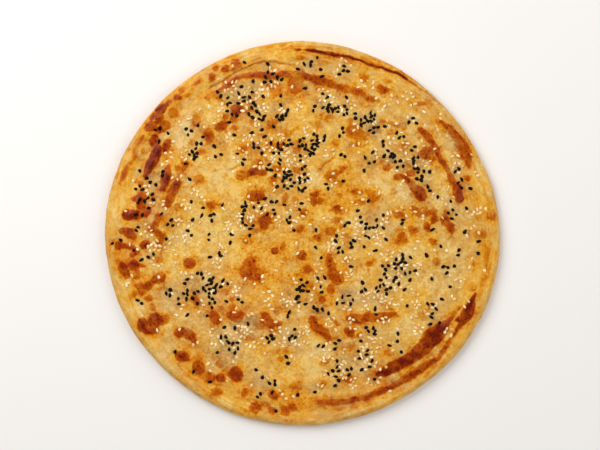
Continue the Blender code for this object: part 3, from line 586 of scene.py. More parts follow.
def add_node(tree, kind, inputs=None, stops=(), **settings):
    """Adds a node with its settings. An input is a value, or another node's output to link. Stops are a ramp's
    positions and hex colours."""
    made = tree.nodes.new(kind)
    for key, value in settings.items():
        setattr(made, key, value)
    for key, value in (inputs or {}).items():
        if isinstance(value, bpy.types.NodeSocket):
            tree.links.new(value, made.inputs[key])
        else:
            made.inputs[key].default_value = value
    for index, (position, colour) in enumerate(stops):
        elements = made.color_ramp.elements
        stop = elements[index] if index < 2 else elements.new(position)
        stop.position, stop.color = position, hex_colour(colour)
    return made


def crust_material():
    """Fried wheat dough: fat soaks into it, so it is a deep, slightly shiny gold, and greyer where it is dry.
    Where it touched the pan its sugars browned, from amber through orange-brown to a dark scorch."""
    oiled = ((0.0, "6a1800"), (0.14, "933300"), (0.26, "ab4800"), (0.38, "be5c02"), (0.50, "ce7206"),
             (0.60, "da8410"), (0.70, "e49b26"), (0.78, "e9a734"), (0.87, "eeb346"), (1.0, "f8c864"))
    dry = ((0.0, "52200f"), (0.14, "763118"), (0.26, "8f471c"), (0.38, "a26128"), (0.50, "ae7b3e"),
           (0.60, "b98a4a"), (0.70, "cd9f57"), (0.78, "d7a95f"), (0.87, "dfb36a"), (1.0, "efcb86"))
    material = bpy.data.materials.new("fried wheat dough")
    material.use_nodes = True
    tree = material.node_tree
    shader = tree.nodes["Principled BSDF"]
    place = add_node(tree, "ShaderNodeTexCoord").outputs["Object"]

    def layer(name):
        return add_node(tree, "ShaderNodeAttribute", attribute_name=name).outputs["Fac"]

    def noise(millimetres, detail, distortion=0.0, vector=place):
        inputs = {"Vector": vector, "Scale": 1 / (millimetres * M), "Detail": detail, "Distortion": distortion}
        return add_node(tree, "ShaderNodeTexNoise", inputs).outputs["Fac"]

    def math(operation, first, second=0.0, third=0.0, clamp=False):
        inputs = {0: first, 1: second, 2: third}
        return add_node(tree, "ShaderNodeMath", inputs, operation=operation, use_clamp=clamp).outputs[0]

    def swing(total, factor, amount):
        """Adds a factor that is 0.5 on average, times amount, to the total, without changing its average."""
        return math("MULTIPLY_ADD", factor, amount, math("SUBTRACT", total, amount / 2))

    # Round the rim the layers show as flakes about 9 mm long and 2 mm apart. Their noise is read along a
    # circle, and squeezed fivefold outwards from it.
    from_axis = add_node(tree, "ShaderNodeVectorMath", {0: place, 1: (1, 1, 0)}, operation="MULTIPLY").outputs[0]
    radius = add_node(tree, "ShaderNodeVectorMath", {0: from_axis}, operation="LENGTH").outputs["Value"]
    outward = add_node(tree, "ShaderNodeVectorMath", {0: from_axis}, operation="NORMALIZE").outputs[0]
    raised = add_node(tree, "ShaderNodeCombineXYZ", {"Z": math("MULTIPLY", radius, 5 / (120 * M))}).outputs[0]
    wound = add_node(tree, "ShaderNodeVectorMath", {0: outward, 1: raised}, operation="ADD").outputs[0]
    wound = add_node(tree, "ShaderNodeVectorMath", {0: wound, "Scale": 120 * M}, operation="SCALE").outputs[0]
    at_rim = math("MULTIPLY_ADD", radius, 1 / (22 * M), -95 / 22, clamp=True)
    flakes = math("MULTIPLY", math("SUBTRACT", noise(9, 3, 0.5, wound), 0.5), at_rim)
    mottles, grain = noise(5, 4, 0.6), noise(1.6, 3)
    outline = math("MULTIPLY_ADD", math("SUBTRACT", noise(1.8, 2), 0.5), 0.55, layer("inside"))
    core = math("MULTIPLY_ADD", outline, 2.0, -0.5, clamp=True)
    specks = math("MULTIPLY_ADD", noise(2.0, 2, 0.4), 9, -4.9, clamp=True)
    uneven = math("MULTIPLY_ADD", noise(7, 2, 0.5), 4.5, -1.6, clamp=True)
    halo = math("MULTIPLY", layer("halo"), math("MULTIPLY_ADD", specks, 0.7, uneven))
    browned = math("MULTIPLY", core, layer("darkness"))
    texture = swing(swing(swing(0.0, noise(16, 3), 0.25), mottles, 0.78), grain, 0.66)
    texture = math("MULTIPLY", texture, math("MULTIPLY_ADD", browned, -0.75, 1.0))
    texture = math("MULTIPLY", texture, math("MULTIPLY_ADD", at_rim, -0.40, 1.0))
    tone = math("ADD", texture, math("MULTIPLY_ADD", layer("bright"), 0.13, 0.825))
    freckles = math("MULTIPLY_ADD", math("MAXIMUM", layer("rich"), 0.0), 0.10, 0.03)
    freckles = math("MULTIPLY", freckles, math("MULTIPLY_ADD", at_rim, -0.7, 1.0))
    tone = math("SUBTRACT", tone, math("MULTIPLY", specks, freckles))
    tone = math("MULTIPLY_ADD", flakes, 0.6, tone)
    tone = math("MULTIPLY_ADD", halo, -0.36, tone)
    tone = math("MULTIPLY_ADD", browned, -0.58, tone)
    # The fold grooves are painted darker: partly browning, partly painted shade where the groove would lie in shadow.
    tone = math("MULTIPLY_ADD", layer("groove_depth_and_shade"), -0.36, tone, clamp=True)
    oiled_colour = add_node(tree, "ShaderNodeValToRGB", {"Fac": tone}, oiled).outputs["Color"]
    dry_colour = add_node(tree, "ShaderNodeValToRGB", {"Fac": tone}, dry).outputs["Color"]
    fat = math("MULTIPLY_ADD", halo, 0.9, math("MULTIPLY_ADD", layer("rich"), 0.5, 0.45))
    fat = math("MULTIPLY_ADD", flakes, -0.6, math("MULTIPLY_ADD", browned, 0.6, fat))
    # The grooves also get a richer, fat-soaked colour, as part of the same browning and painted shade.
    fat = math("MULTIPLY_ADD", layer("groove_depth_and_shade"), 0.4, fat)
    fat = math("ADD", swing(swing(fat, noise(18, 3, 0.5), 1.1), noise(6, 2), 1.2), 0.0, clamp=True)
    mixed = add_node(tree, "ShaderNodeMix", {"Factor": fat, "A": dry_colour, "B": oiled_colour}, data_type="RGBA")
    hue = swing(math("MULTIPLY_ADD", layer("blush"), -0.008, 0.5), noise(10, 3), 0.012)
    colour = add_node(tree, "ShaderNodeHueSaturation", {"Hue": hue, "Value": 0.87, "Color": mixed.outputs["Result"]})
    tree.links.new(colour.outputs["Color"], shader.inputs["Base Color"])
    tree.links.new(math("MULTIPLY_ADD", fat, -0.12, 0.48), shader.inputs["Roughness"])
    height = math("MULTIPLY_ADD", flakes, 2.0, math("MULTIPLY_ADD", grain, 0.5, mottles))
    bump = add_node(tree, "ShaderNodeBump", {"Height": height, "Strength": 0.4, "Distance": 0.5 * M})
    tree.links.new(bump.outputs["Normal"], shader.inputs["Normal"])
    shader.inputs["IOR"].default_value = 1.46
    shader.inputs["Specular IOR Level"].default_value = 0.12
    return material


bread.data.materials.append(crust_material())
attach(bread, "root")
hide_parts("bread")

# ---- The black sesame --------------------------------------------------------------------------------------
# Black sesame with its hull on, and white sesame with it, were thrown on in pinches and rolled in, so the seeds
# lie flat and half sunk, in loose groups. Each seed is a flat drop: round at one end, pointed at the other.

SEED_GAP = 2.4  # between the middles of two seeds, at least
SINKING = 0.22  # how far above the dough a seed's middle lies, as a share of its thickness

# A pinch is x, y, how far it spread, and its number of black seeds and of white ones.
PINCHES = (
    # far left
    (-76, 69, 4, 1, 2), (-72.5, 65.5, 3, 2, 0), (-65, 67, 3, 1, 1), (-63.5, 58, 4, 2, 0), (-72, 56.5, 5, 2, 0),
    (-55.5, 57, 2, 1, 0), (-47, 62, 4, 1, 4), (-56.7, 72, 2, 0, 2), (-69.5, 51, 3.5, 5, 0), (-54, 48.5, 3.5, 2, 0),
    (-61.5, 47.5, 2, 0, 1), (-78, 45.5, 4, 1, 1), (-85, 50.3, 2, 0, 2), (-40, 50, 5, 2, 8), (-31, 55, 3, 3, 0),
    (-35, 63.8, 3, 1, 0), (-39, 44, 1, 1, 0), (-92.5, 67, 2, 2, 0), (-87.5, 64.7, 2, 1, 0), (-91.5, 58, 1, 1, 0),
    (-54, 90.6, 4, 2, 0), (-40.5, 91.5, 3.5, 2, 1), (-33, 90, 3, 2, 0), (-27.3, 90, 3, 0, 4), (-32.3, 96.8, 2, 1, 0),
    (-48, 84.2, 3, 3, 0), (-38.5, 84.5, 3, 3, 1), (-36.8, 80, 3, 0, 2), (-32, 81.7, 2, 3, 0), (-53, 77.5, 3, 0, 4),
    (-47.3, 76.5, 3, 2, 0), (-41.3, 75.5, 2, 1, 0), (-46.7, 71.7, 1, 1, 0), (-32.5, 75.2, 3, 2, 0),
    (-26, 74.8, 3, 4, 0), (-28.3, 70.7, 3, 0, 4), (-25.3, 85.5, 2, 1, 0),
    # far side
    (-23, 96.2, 3, 2, 0), (-21, 100.7, 3, 3, 0), (-18, 95, 3, 0, 4), (-14, 101.3, 3, 2, 0), (-22, 109, 1, 1, 0),
    (-7, 93, 2, 0, 1), (-14.3, 88.2, 1, 1, 0), (-13.5, 81.7, 1, 1, 0), (-14, 74.5, 2.5, 4, 0), (-9, 76.7, 2, 2, 0),
    (-12.3, 77.3, 3, 0, 4), (-2.3, 81.5, 3, 0, 4), (-1.3, 104, 2, 1, 0), (-1, 108.6, 2.5, 1, 1), (4, 108.5, 2, 2, 0),
    (8.7, 112, 1, 1, 0), (13.3, 105.3, 2, 1, 0), (13, 100.3, 1, 1, 0), (21, 102.5, 3, 1, 3), (28, 104.5, 3, 3, 0),
    (35.3, 96, 3, 0, 2), (43, 94, 5, 0, 4), (47, 88.3, 2, 0, 1), (1, 92.7, 1, 1, 0), (13.3, 88.5, 4.5, 1, 6),
    (15, 86, 2, 1, 0), (8.5, 82, 4, 2, 0), (13.5, 80, 2.5, 2, 0), (18.3, 80.3, 3, 5, 0), (22.5, 80, 2.5, 2, 2),
    (25.5, 78.5, 3.5, 4, 2), (18.5, 86, 2.5, 0, 3), (30.3, 82.5, 3.5, 0, 5), (29.5, 86.7, 2, 1, 0),
    (34.2, 75.3, 2, 2, 0), (35.5, 70.3, 3, 2, 2), (40.3, 72, 2.5, 3, 0), (43.5, 74.5, 3, 5, 0), (45.3, 71.7, 2, 0, 2),
    (43, 65, 2.5, 2, 0), (47.5, 65.8, 3, 2, 0), (27, 66, 2, 2, 0), (23.3, 62.2, 1, 1, 0), (51, 81.3, 3, 0, 3),
    (56, 86.7, 2, 0, 2), (64, 86.7, 2, 0, 1), (69, 88.5, 4, 0, 4), (70, 82.3, 3, 0, 2), (77.3, 79.7, 2, 0, 1),
    (88.3, 75, 2, 0, 2),
    # between the middle and the far side
    (-19.7, 67, 2, 1, 0), (-24.5, 64.4, 2.5, 2, 0), (-23.5, 59.5, 4, 1, 4), (-13.5, 61, 3, 0, 4),
    (-13.8, 56.2, 3, 4, 0), (-16.5, 51.4, 2.5, 2, 2), (-22, 52, 4, 0, 5), (-8.5, 58.2, 2.5, 3, 0), (-1.2, 60, 3, 2, 0),
    (-2, 57, 2, 2, 0), (-2.7, 50.3, 2, 1, 0), (2, 55, 2.5, 3, 0), (6.5, 61, 3.5, 4, 0), (12.6, 61, 3, 2, 1),
    (9.5, 56, 3, 5, 0), (5.6, 52.3, 2.5, 4, 0), (4, 65.5, 4, 0, 5), (-26.7, 50.7, 1, 1, 0), (-17.5, 48, 3, 0, 4),
    (-14.8, 46.5, 2, 2, 0), (-8, 47.5, 3.5, 0, 5), (-1.3, 46.7, 1, 1, 0), (1.4, 42.5, 3, 2, 0), (-4, 44.3, 2, 0, 2),
    (1.7, 38.3, 1, 1, 0), (-27.5, 43, 3, 0, 4), (20, 52, 2, 0, 2), (14.7, 49, 2, 0, 2), (38.3, 57, 3, 0, 2),
    # far right
    (26.3, 50.4, 2, 2, 0), (41, 47, 3.5, 2, 0), (46.7, 50.7, 3, 1, 3), (47, 44.3, 2, 1, 0), (40.7, 40.5, 2, 1, 0),
    (52.8, 56.8, 2.5, 2, 0), (54.3, 50.2, 3, 4, 0), (53, 47.3, 2, 0, 1), (57, 49.7, 2, 2, 0), (62, 62.6, 4, 3, 0),
    (54.5, 69.5, 3, 1, 2), (60, 69.7, 1, 0, 1), (68.5, 73.2, 3, 2, 3), (66, 55, 4, 0, 5), (71.8, 55, 3, 2, 0),
    (74, 51.7, 3, 1, 1), (70.3, 47.3, 2.5, 3, 1), (73, 41.8, 3, 3, 1), (79.2, 45.3, 2.5, 0, 4), (79.7, 38.8, 2.5, 2, 0),
    (75.3, 35.7, 3, 3, 0), (82.5, 30, 3, 2, 0), (85, 23.5, 2.5, 1, 2), (58.3, 43.9, 3, 2, 0), (58.3, 41, 2.5, 0, 2),
    (62.5, 45, 3, 2, 1), (77.5, 58, 3, 0, 2), (83, 54, 2, 0, 1), (85.7, 66.7, 2, 0, 2), (93.5, 62, 3, 0, 1),
    (98, 49.3, 3, 0, 3), (105.5, 50, 3, 0, 1), (98.7, 41, 2.5, 2, 0), (110.7, 38.3, 2, 0, 2), (100, 34.5, 3, 1, 0),
    (101.5, 31.5, 2.5, 2, 0), (107, 28, 1, 1, 0), (93.7, 29.3, 2, 0, 2), (92.5, 21, 3.5, 1, 2), (106, 17.8, 2, 1, 0),
    (95.8, 12.3, 3, 4, 0), (63.7, 32.5, 2, 0, 2),
    # right
    (105.5, 0.5, 3.5, 1, 2), (112, 3, 4, 0, 2), (112.3, -5.2, 1, 1, 0), (110.7, -13.3, 2, 1, 0), (101.3, -12, 3, 2, 0),
    (89.3, -8, 1, 1, 0), (83.5, 2, 1, 1, 0), (80, -13.3, 2, 1, 0), (73, -9.7, 1, 0, 1), (90.7, -23.5, 3, 3, 0),
    (96.7, -21.5, 1, 1, 0), (107, -22, 2, 0, 1), (115.3, -25, 2, 0, 1), (94.5, -34.3, 2, 1, 0), (101.7, -32, 3, 0, 3),
    (95.5, -41, 2, 0, 2), (88.7, -42, 1, 1, 0), (82.5, -27.5, 2, 1, 1), (74, -22.3, 4, 1, 6), (68, -26.8, 3, 3, 0),
    (64, -25, 3, 1, 3), (61.5, -31.7, 1, 1, 0), (66, -36, 1, 1, 0), (72.5, -37, 3, 0, 3), (115, 14, 4, 0, 5),
    (107, 13, 3, 0, 4),
    # right of the middle
    (54, 12, 3.5, 1, 3), (51.5, 7.5, 3, 0, 3), (63.7, 7, 2, 2, 0), (69, 12.6, 4, 0, 3), (77, 10.7, 2, 0, 2),
    (38, 12.5, 3.5, 2, 0), (41, 21, 2, 1, 0), (26.7, 15.3, 2, 0, 2), (32.7, 18.5, 2, 0, 2), (36, 27, 2, 0, 1),
    (40, 5.5, 3, 3, 0), (45.3, 3.3, 3, 3, 0), (50, 5, 2.5, 1, 0), (35, 4, 3, 0, 3), (42, -2, 2.5, 2, 0),
    (49, -2, 4, 0, 7), (48, -6.5, 3, 0, 2), (53, -5.3, 1.5, 1, 0), (34.3, -3, 3, 1, 3), (39.7, -8.8, 1, 1, 0),
    (45, -13.5, 3, 1, 1), (54, -11.5, 4, 0, 3), (60.5, -14, 4, 0, 4), (66.2, -16, 3, 4, 0), (61, -18.5, 2.5, 4, 0),
    (57.5, -21.8, 3, 2, 2), (51.6, -22.8, 2.5, 2, 0), (53.8, -27.2, 2.5, 2, 2), (58, -29.8, 2.5, 2, 0),
    (49.7, -31, 3, 3, 0), (52, -33.5, 2.5, 0, 3), (47.4, -36, 2.5, 2, 0), (53.7, -35.7, 3, 3, 0), (50.5, -41, 3.5, 0, 5),
    (39.5, -38.5, 3.5, 2, 4),
    # middle
    (-9, 37.5, 3, 5, 0), (-12, 39.8, 2.5, 0, 2), (-13, 34.7, 3, 2, 1), (-9.5, 34, 2.5, 1, 1), (-15.2, 30.8, 2.5, 1, 0),
    (-9.8, 30, 3, 3, 0), (-4, 32, 2, 1, 0), (-1.8, 35, 3, 1, 5), (-1, 29.7, 3, 4, 0), (3.3, 35, 3, 2, 4),
    (-18.3, 37.3, 1, 1, 0), (-22, 41.7, 2.5, 3, 0), (16.5, 30.4, 2, 2, 0), (26, 34.3, 1, 1, 0), (-18.5, 21.4, 2.5, 2, 0),
    (-23.7, 22.3, 1, 1, 0), (-30, 18.2, 3, 2, 2), (-35.8, 16.5, 3.5, 4, 0), (-38.3, 11, 2.5, 2, 0),
    (-33.5, 10, 3, 0, 5), (-26, 16.5, 1, 1, 0), (-20.7, 14, 3.5, 3, 2), (-38.3, 5, 3.5, 2, 3), (-33, 3.5, 2.5, 2, 0),
    (-34, -1.3, 1, 1, 0), (-45, -3.5, 3, 2, 0), (-9.7, 18.7, 2, 1, 0), (-1.7, 18.5, 3.5, 2, 3), (-9.5, 9, 2.5, 3, 0),
    (-8.3, 14, 2, 0, 2), (-15.5, 7.5, 3, 0, 4), (-5.8, 7, 3, 0, 3), (-6.3, 1.3, 2, 1, 0), (8.7, 2, 2, 1, 0),
    (15.3, 10.3, 2, 0, 2), (9, -9.3, 1, 1, 0), (12, -15.7, 1, 1, 0), (28.5, 6, 2, 2, 0), (21.5, -1.3, 1, 1, 0),
    (19.5, -7.5, 4, 0, 7), (23.3, -7, 3, 2, 0), (24, -11, 2, 2, 0), (30.5, -7, 2.5, 2, 0), (30.5, -18, 4, 1, 4),
    (29.3, -27, 3.5, 0, 6), (37.7, -29, 1, 0, 1), (10, -22, 3, 0, 4), (11, -28, 3.5, 2, 3), (-4.3, -29.7, 2, 0, 2),
    # left
    (-105.7, 41, 2, 1, 0), (-98, 36, 3.5, 2, 0), (-90.8, 38.7, 2.5, 2, 0), (-81.7, 35, 2, 0, 2), (-93.3, 30.7, 1, 1, 0),
    (-104, 29, 3, 3, 0), (-99.5, 28, 3, 0, 4), (-94.2, 23.5, 2.5, 2, 0), (-104.3, 20.5, 2, 2, 0), (-99.8, 21, 2.5, 2, 0),
    (-97.2, 18, 2.5, 1, 2), (-104.5, 14.3, 4, 2, 0), (-89.8, 13.5, 1, 1, 0), (-104.5, 3, 3.5, 2, 0), (-119, -5, 4, 2, 0),
    (-84, 6.5, 2.5, 3, 0), (-80, 7, 3, 0, 4), (-70.5, 6, 3.5, 1, 3), (-72, 0, 2.5, 2, 0), (-86, -4.7, 2, 1, 1),
    (-82.5, -4, 3, 0, 3), (-74, -4, 3, 0, 5), (-66.7, -7.7, 2, 0, 2), (-95, -9, 4, 0, 7), (-89.3, -8.7, 2, 0, 2),
    (-96.5, -13, 2, 1, 0), (-100.5, -16, 3, 2, 0), (-82.7, -12.7, 2, 0, 2), (-66, 14.5, 3.5, 2, 0), (-59, 10.7, 3, 3, 0),
    (-61.5, -1.7, 3, 2, 0), (-50.4, 19, 1, 1, 0), (-51.3, 15.3, 1, 0, 1), (-47.5, 4.8, 2.5, 0, 5), (-54.8, 0.8, 1, 0, 1), (-49.9, 2.1, 1, 0, 1), (-51.8, -10.5, 3.5, 0, 5),
    (-52.3, -13.6, 2, 2, 0), (-59, -15, 1, 1, 0), (-55, -19, 3.5, 0, 5), (-68.7, 27, 3, 0, 4), (-63.3, 21.7, 2, 0, 2),
    (-74, 18.5, 3.5, 0, 5),
    # near left
    (-112.3, -33, 2, 0, 2), (-103.7, -43, 2, 2, 0), (-85, -38, 3, 3, 1), (-75.7, -25.3, 2, 0, 2), (-73, -31.5, 3, 2, 0),
    (-75, -37, 2.5, 3, 0), (-78, -43, 2.5, 2, 0), (-76.7, -47, 2, 0, 2), (-71.7, -43, 3, 2, 0), (-74.7, -52.7, 2, 1, 0),
    (-80.3, -52.3, 1, 0, 1), (-70.3, -27, 2, 0, 2), (-65.5, -27, 2.5, 3, 0), (-60.5, -26, 2, 0, 2), (-59, -30, 2.5, 4, 0),
    (-52.8, -31.7, 3, 2, 1), (-47.3, -31.7, 2, 1, 1), (-61.5, -33.7, 3, 4, 0), (-66.5, -38, 3.5, 2, 0),
    (-57.5, -35.8, 3, 3, 2), (-53, -35, 2, 1, 0), (-60, -40.4, 3, 3, 0), (-64.5, -44, 3, 1, 2), (-58, -45, 2.5, 3, 0),
    (-65.3, -50, 1, 0, 1), (-48.7, -43.5, 1, 1, 0), (-41.8, -38, 3.5, 0, 5), (-40.5, -43.7, 2.5, 2, 0),
    (-36.9, -29.1, 1, 0, 1), (-31.3, -32.2, 1, 0, 1), (-44, -48.7, 2, 0, 2), (-34, -51.3, 2, 0, 2), (-61.3, -53.7, 1, 1, 0), (-57.3, -62.7, 2, 0, 2),
    (-50.3, -60.5, 1, 1, 0), (-43.5, -60.8, 1, 1, 0), (-36.5, -63.5, 4.5, 0, 8), (-34, -57.7, 1, 1, 0),
    (-48, -66, 3, 2, 2), (-52.8, -66.7, 1, 1, 0), (-56.5, -71.3, 2, 0, 2), (-47.7, -69.3, 1, 1, 0), (-42.5, -70, 3, 2, 2),
    (-33, -71, 3, 0, 4), (-46.7, -75, 2, 1, 0), (-42, -74.8, 2, 2, 0), (-43.5, -78.7, 2, 0, 1), (-54.3, -76.5, 1, 1, 0),
    (-81.8, -76.3, 1, 1, 0), (-69.3, -88.7, 1, 1, 0), (-59.3, -95.7, 1, 1, 0), (-47.3, -93.7, 2, 0, 1),
    (-30.3, -88.3, 2, 1, 0),
    # between the middle and the near side
    (-21, -67, 3, 4, 0), (-12.5, -69.7, 3, 0, 4), (-25.7, -55.8, 1, 0, 1), (-17.5, -56, 1, 0, 1), (-23, -40.5, 4, 0, 5), (-20, -46.5, 2.5, 0, 2),
    (-12, -41, 3.5, 0, 5), (-7.5, -45, 3, 0, 4), (-10, -51, 4, 2, 0), (-2.3, -48, 2, 0, 2), (-5.6, -64, 3, 3, 0),
    (0, -62.5, 4, 0, 8), (-6, -67, 2.5, 1, 2), (2.7, -68.3, 2, 0, 2), (-3.3, -71.3, 2, 0, 2), (0.3, -31.5, 2.5, 3, 0),
    (-1.3, -35, 2.5, 4, 0), (3, -37.7, 1, 1, 0), (-2.5, -41.5, 2.5, 3, 0), (1.5, -45.3, 1, 1, 0), (5, -42, 3, 0, 2),
    (7.5, -35.7, 2, 0, 1), (13, -36.3, 3, 2, 0), (9, -49, 4, 3, 0), (15.5, -52, 2, 1, 0), (17, -56.7, 4, 0, 6),
    (24.7, -42, 3.5, 2, 1), (22.5, -45.3, 1, 1, 0), (28.3, -47, 3, 0, 4), (33, -40, 3.5, 2, 1), (31.3, -44.7, 1, 1, 0),
    (41, -43, 2, 0, 2), (30.5, -54.5, 2.5, 0, 3), (46.5, -48, 4, 2, 0), (50.5, -54.5, 3, 0, 4), (53, -44.5, 3, 0, 3),
    (60, -45, 2, 0, 2), (67.3, -46, 1, 1, 0),
    # near side
    (12.5, -71.8, 3, 2, 2), (19.3, -72.5, 3, 2, 2), (22.8, -67.7, 1, 1, 0), (13, -80, 3, 0, 4), (18.3, -80.3, 2, 0, 2),
    (21.7, -83.3, 2.5, 2, 0), (25, -83, 3, 0, 4), (26.7, -76, 2, 0, 2), (36.5, -68, 3.5, 1, 2), (42.7, -67, 2, 0, 2),
    (40.5, -61, 3, 2, 0), (45.3, -62.5, 2.5, 3, 0), (39, -73, 3, 0, 5), (42, -75.5, 3, 2, 2), (36, -77.5, 3, 2, 0),
    (48.5, -70, 3.5, 0, 6), (43.5, -83.8, 2.5, 2, 0), (39.3, -87, 2, 1, 1), (31, -85.7, 3, 2, 0), (30, -91.7, 2, 1, 0),
    (27, -90.5, 3, 0, 5), (21, -89.3, 2.5, 3, 0), (16.5, -90, 1, 1, 0), (23, -96.5, 3, 2, 0), (31.8, -95.5, 3.5, 0, 6),
    (11.3, -96.7, 2, 0, 2), (43.5, -95.3, 2.5, 0, 3), (47.8, -93, 2.5, 1, 2), (-25, -92.3, 1, 1, 0),
    (-19, -94.7, 2.5, 3, 0), (-27.5, -104.5, 2, 2, 0), (-16.3, -113, 1, 1, 0), (-13.3, -102.9, 1, 0, 1), (-9.9, -105.5, 1, 0, 1),
    (-2.9, -103.4, 1, 1, 0), (-5, -105, 1, 0, 1), (7.2, -101.2, 1, 1, 0), (-8.8, -80.3, 3, 2, 2),
    # near right
    (80.5, -44.7, 3, 2, 0), (84.9, -46, 2.5, 1, 3), (72.5, -45.3, 3, 0, 5), (71.3, -53.3, 2, 0, 2), (80.8, -52.3, 3, 2, 0),
    (80.7, -58, 1, 1, 0), (88, -56.5, 1, 1, 0), (74, -61.5, 3.5, 0, 6), (93.6, -62.5, 3, 0, 4), (59, -63.5, 3, 1, 1),
    (61.5, -68.7, 1, 1, 0), (57.5, -72.6, 3, 1, 2), (63, -75, 1, 1, 0),
    # and looser ones between
    (-29, 77, 1, 1, 0), (46.9, 8.5, 1, 1, 0),
    (-46, 95, 6, 0, 6), (-35, 88, 6, 0, 6), (-27, 80, 5, 0, 6), (-24, 90, 4, 0, 3), (-20, 104, 3, 0, 3),
    (-33, 60, 5, 0, 8), (-12, 53, 5, 0, 8), (-74, 50, 4, 0, 5), (-88, 48, 5, 0, 3), (1, 48, 3, 0, 3),
    (-100, 2, 5, 0, 7), (-94, -19, 5, 0, 5), (-83.5, -39.2, 1, 0, 1), (62, -20, 5, 0, 5),
    (58, -32, 5, 0, 5), (48, -38, 4, 0, 3), (42, -78, 6, 0, 6), (50, -85, 4, 0, 4), (35, -79, 3, 0, 2),
    (-15, -65, 6, 0, 7), (80, -49, 3, 0, 3), (25, 4, 4, 0, 4), (-38, 10, 4, 0, 4), (-28, 16, 5, 0, 3),
    (99, 42, 4, 0, 5), (27, 108, 4, 0, 4), (56, 58, 4, 0, 4), (20, 32, 3, 0, 3), (-17, 30, 3, 0, 2),
    (62, 16, 3, 0, 2), (-90, 17, 4, 0, 3), (-52, -68, 3, 0, 3), (-40, -62, 4, 0, 3), (-27, -68, 4, 0, 3),
    (18, -90, 4, 0, 3), (30, -65, 8, 0, 3), (-58, -85, 3, 0, 3), (40, -48, 3, 0, 3), (25, -5, 3, 0, 2),
    (38, 0, 3, 0, 2), (0, 10, 6, 0, 3), (-45.3, 0.4, 1.5, 0, 2), (-43.6, 10.1, 1, 0, 1), (-65.4, 7.4, 1, 0, 1),
)
STRAYS = 8, 90  # lone black and white seeds besides


def seed_places(tries=8):
    """x, y and kind (0 black, 1 white) of every seed. Each is drawn evenly over its pinch's disc or, for the
    strays, over the whole top. The first of its tries that clears the seeds so far by SEED_GAP is taken, or
    else the one that clears them best."""
    draw = np.random.default_rng(81)
    pinches = np.array([*PINCHES, (0, 0, 116, *STRAYS)], float)
    numbers = pinches[:, 3:].astype(int)
    kind = np.concatenate([np.repeat(k, numbers[:, k].sum()) for k in (0, 1)])
    x, y, reach = np.concatenate([np.repeat(pinches[:, :3], numbers[:, k], axis=0) for k in (0, 1)]).T
    spread = reach[:, None] * np.sqrt(draw.uniform(0, 1, (len(x), tries)))
    bearing = draw.uniform(0, 2 * np.pi, (len(x), tries))
    options = np.stack([x[:, None] + spread * np.cos(bearing), y[:, None] + spread * np.sin(bearing)], axis=2)
    place = options[:, 0].copy()
    for index in range(1, len(place)):
        apart = options[index][:, None] - place[None, :index]
        clearance = np.hypot(apart[..., 0], apart[..., 1]).min(axis=1)
        place[index] = options[index][np.argmax(np.minimum(clearance, SEED_GAP))]
    return place, kind


def seed_shape():
    """Points of one seed, in half lengths, half widths and half thicknesses, and its triangles: rings round an
    oval whose width falls by a third from the blunt end to the tip."""
    around, rings = 8, 5
    along = -np.cos(np.pi * np.arange(1, rings + 1) / (rings + 1))
    half = np.sqrt(1 - along**2) * (1.05 - 0.30 * along - 0.10 * along**2)
    turn = 2 * np.pi * np.arange(around) / around
    middle = np.stack([np.repeat(along, around), np.outer(half, np.cos(turn)).ravel(),
                       np.outer(half, np.sin(turn)).ravel()], axis=1)
    points = np.concatenate([[[-1, 0, 0]], middle, [[1, 0, 0]]])
    triangles = [stitch(1 + ring * around, around, 1 + (ring + 1) * around, around) for ring in range(rings - 1)]
    start = np.stack([0 * turn, 1 + (np.arange(around) + 1) % around, 1 + np.arange(around)], axis=1)
    last = 1 + (rings - 1) * around
    end = np.stack([0 * turn + len(points) - 1, last + np.arange(around), last + (np.arange(around) + 1) % around], axis=1)
    return points, np.concatenate([start.astype(int), *triangles, end.astype(int)])


def seeds_mesh(name, places, length_width_thickness, seed):
    """One mesh of all the seeds of a kind. Each is turned at random about the dough's own normal there, tipped a
    little, and varies by a tenth or so in size. Its tone is the same at all its points."""
    step = 0.6
    draw = np.random.default_rng(seed)
    count = len(places)
    x, y = places.T
    height, rise_x, rise_y = (top_layers(x + dx, y + dy)[0] for dx, dy in ((0, 0), (step, 0), (0, step)))
    normal = np.stack([(height - rise_x) / step, (height - rise_y) / step, np.ones(count)], axis=1)
    normal += draw.normal(0, 0.13, (count, 3))
    normal /= np.linalg.norm(normal, axis=1, keepdims=True)
    bearing = draw.uniform(0, 2 * np.pi, count)
    forward = np.stack([np.cos(bearing), np.sin(bearing), 0 * bearing], axis=1)
    forward -= (forward * normal).sum(axis=1, keepdims=True) * normal
    forward /= np.linalg.norm(forward, axis=1, keepdims=True)
    across = np.cross(normal, forward)
    size = draw.normal(1, 0.11, (count, 3)) * np.array(length_width_thickness) / 2
    shape, triangles = seed_shape()
    centre = np.stack([x, y, height], axis=1) + normal * SINKING * length_width_thickness[2]
    axes = np.stack([forward, across, normal], axis=1) * size[:, :, None]
    points = centre[:, None] + shape @ axes
    triangles = triangles[None] + len(shape) * np.arange(count)[:, None, None]
    tone = np.repeat(np.clip(draw.normal(0.5, 0.22, count), 0, 1), len(shape))
    tip = np.tile(shape[:, 0], count)
    return triangle_mesh(name, points.reshape(-1, 3), triangles.reshape(-1, 3), {"tone": tone, "tip": tip})


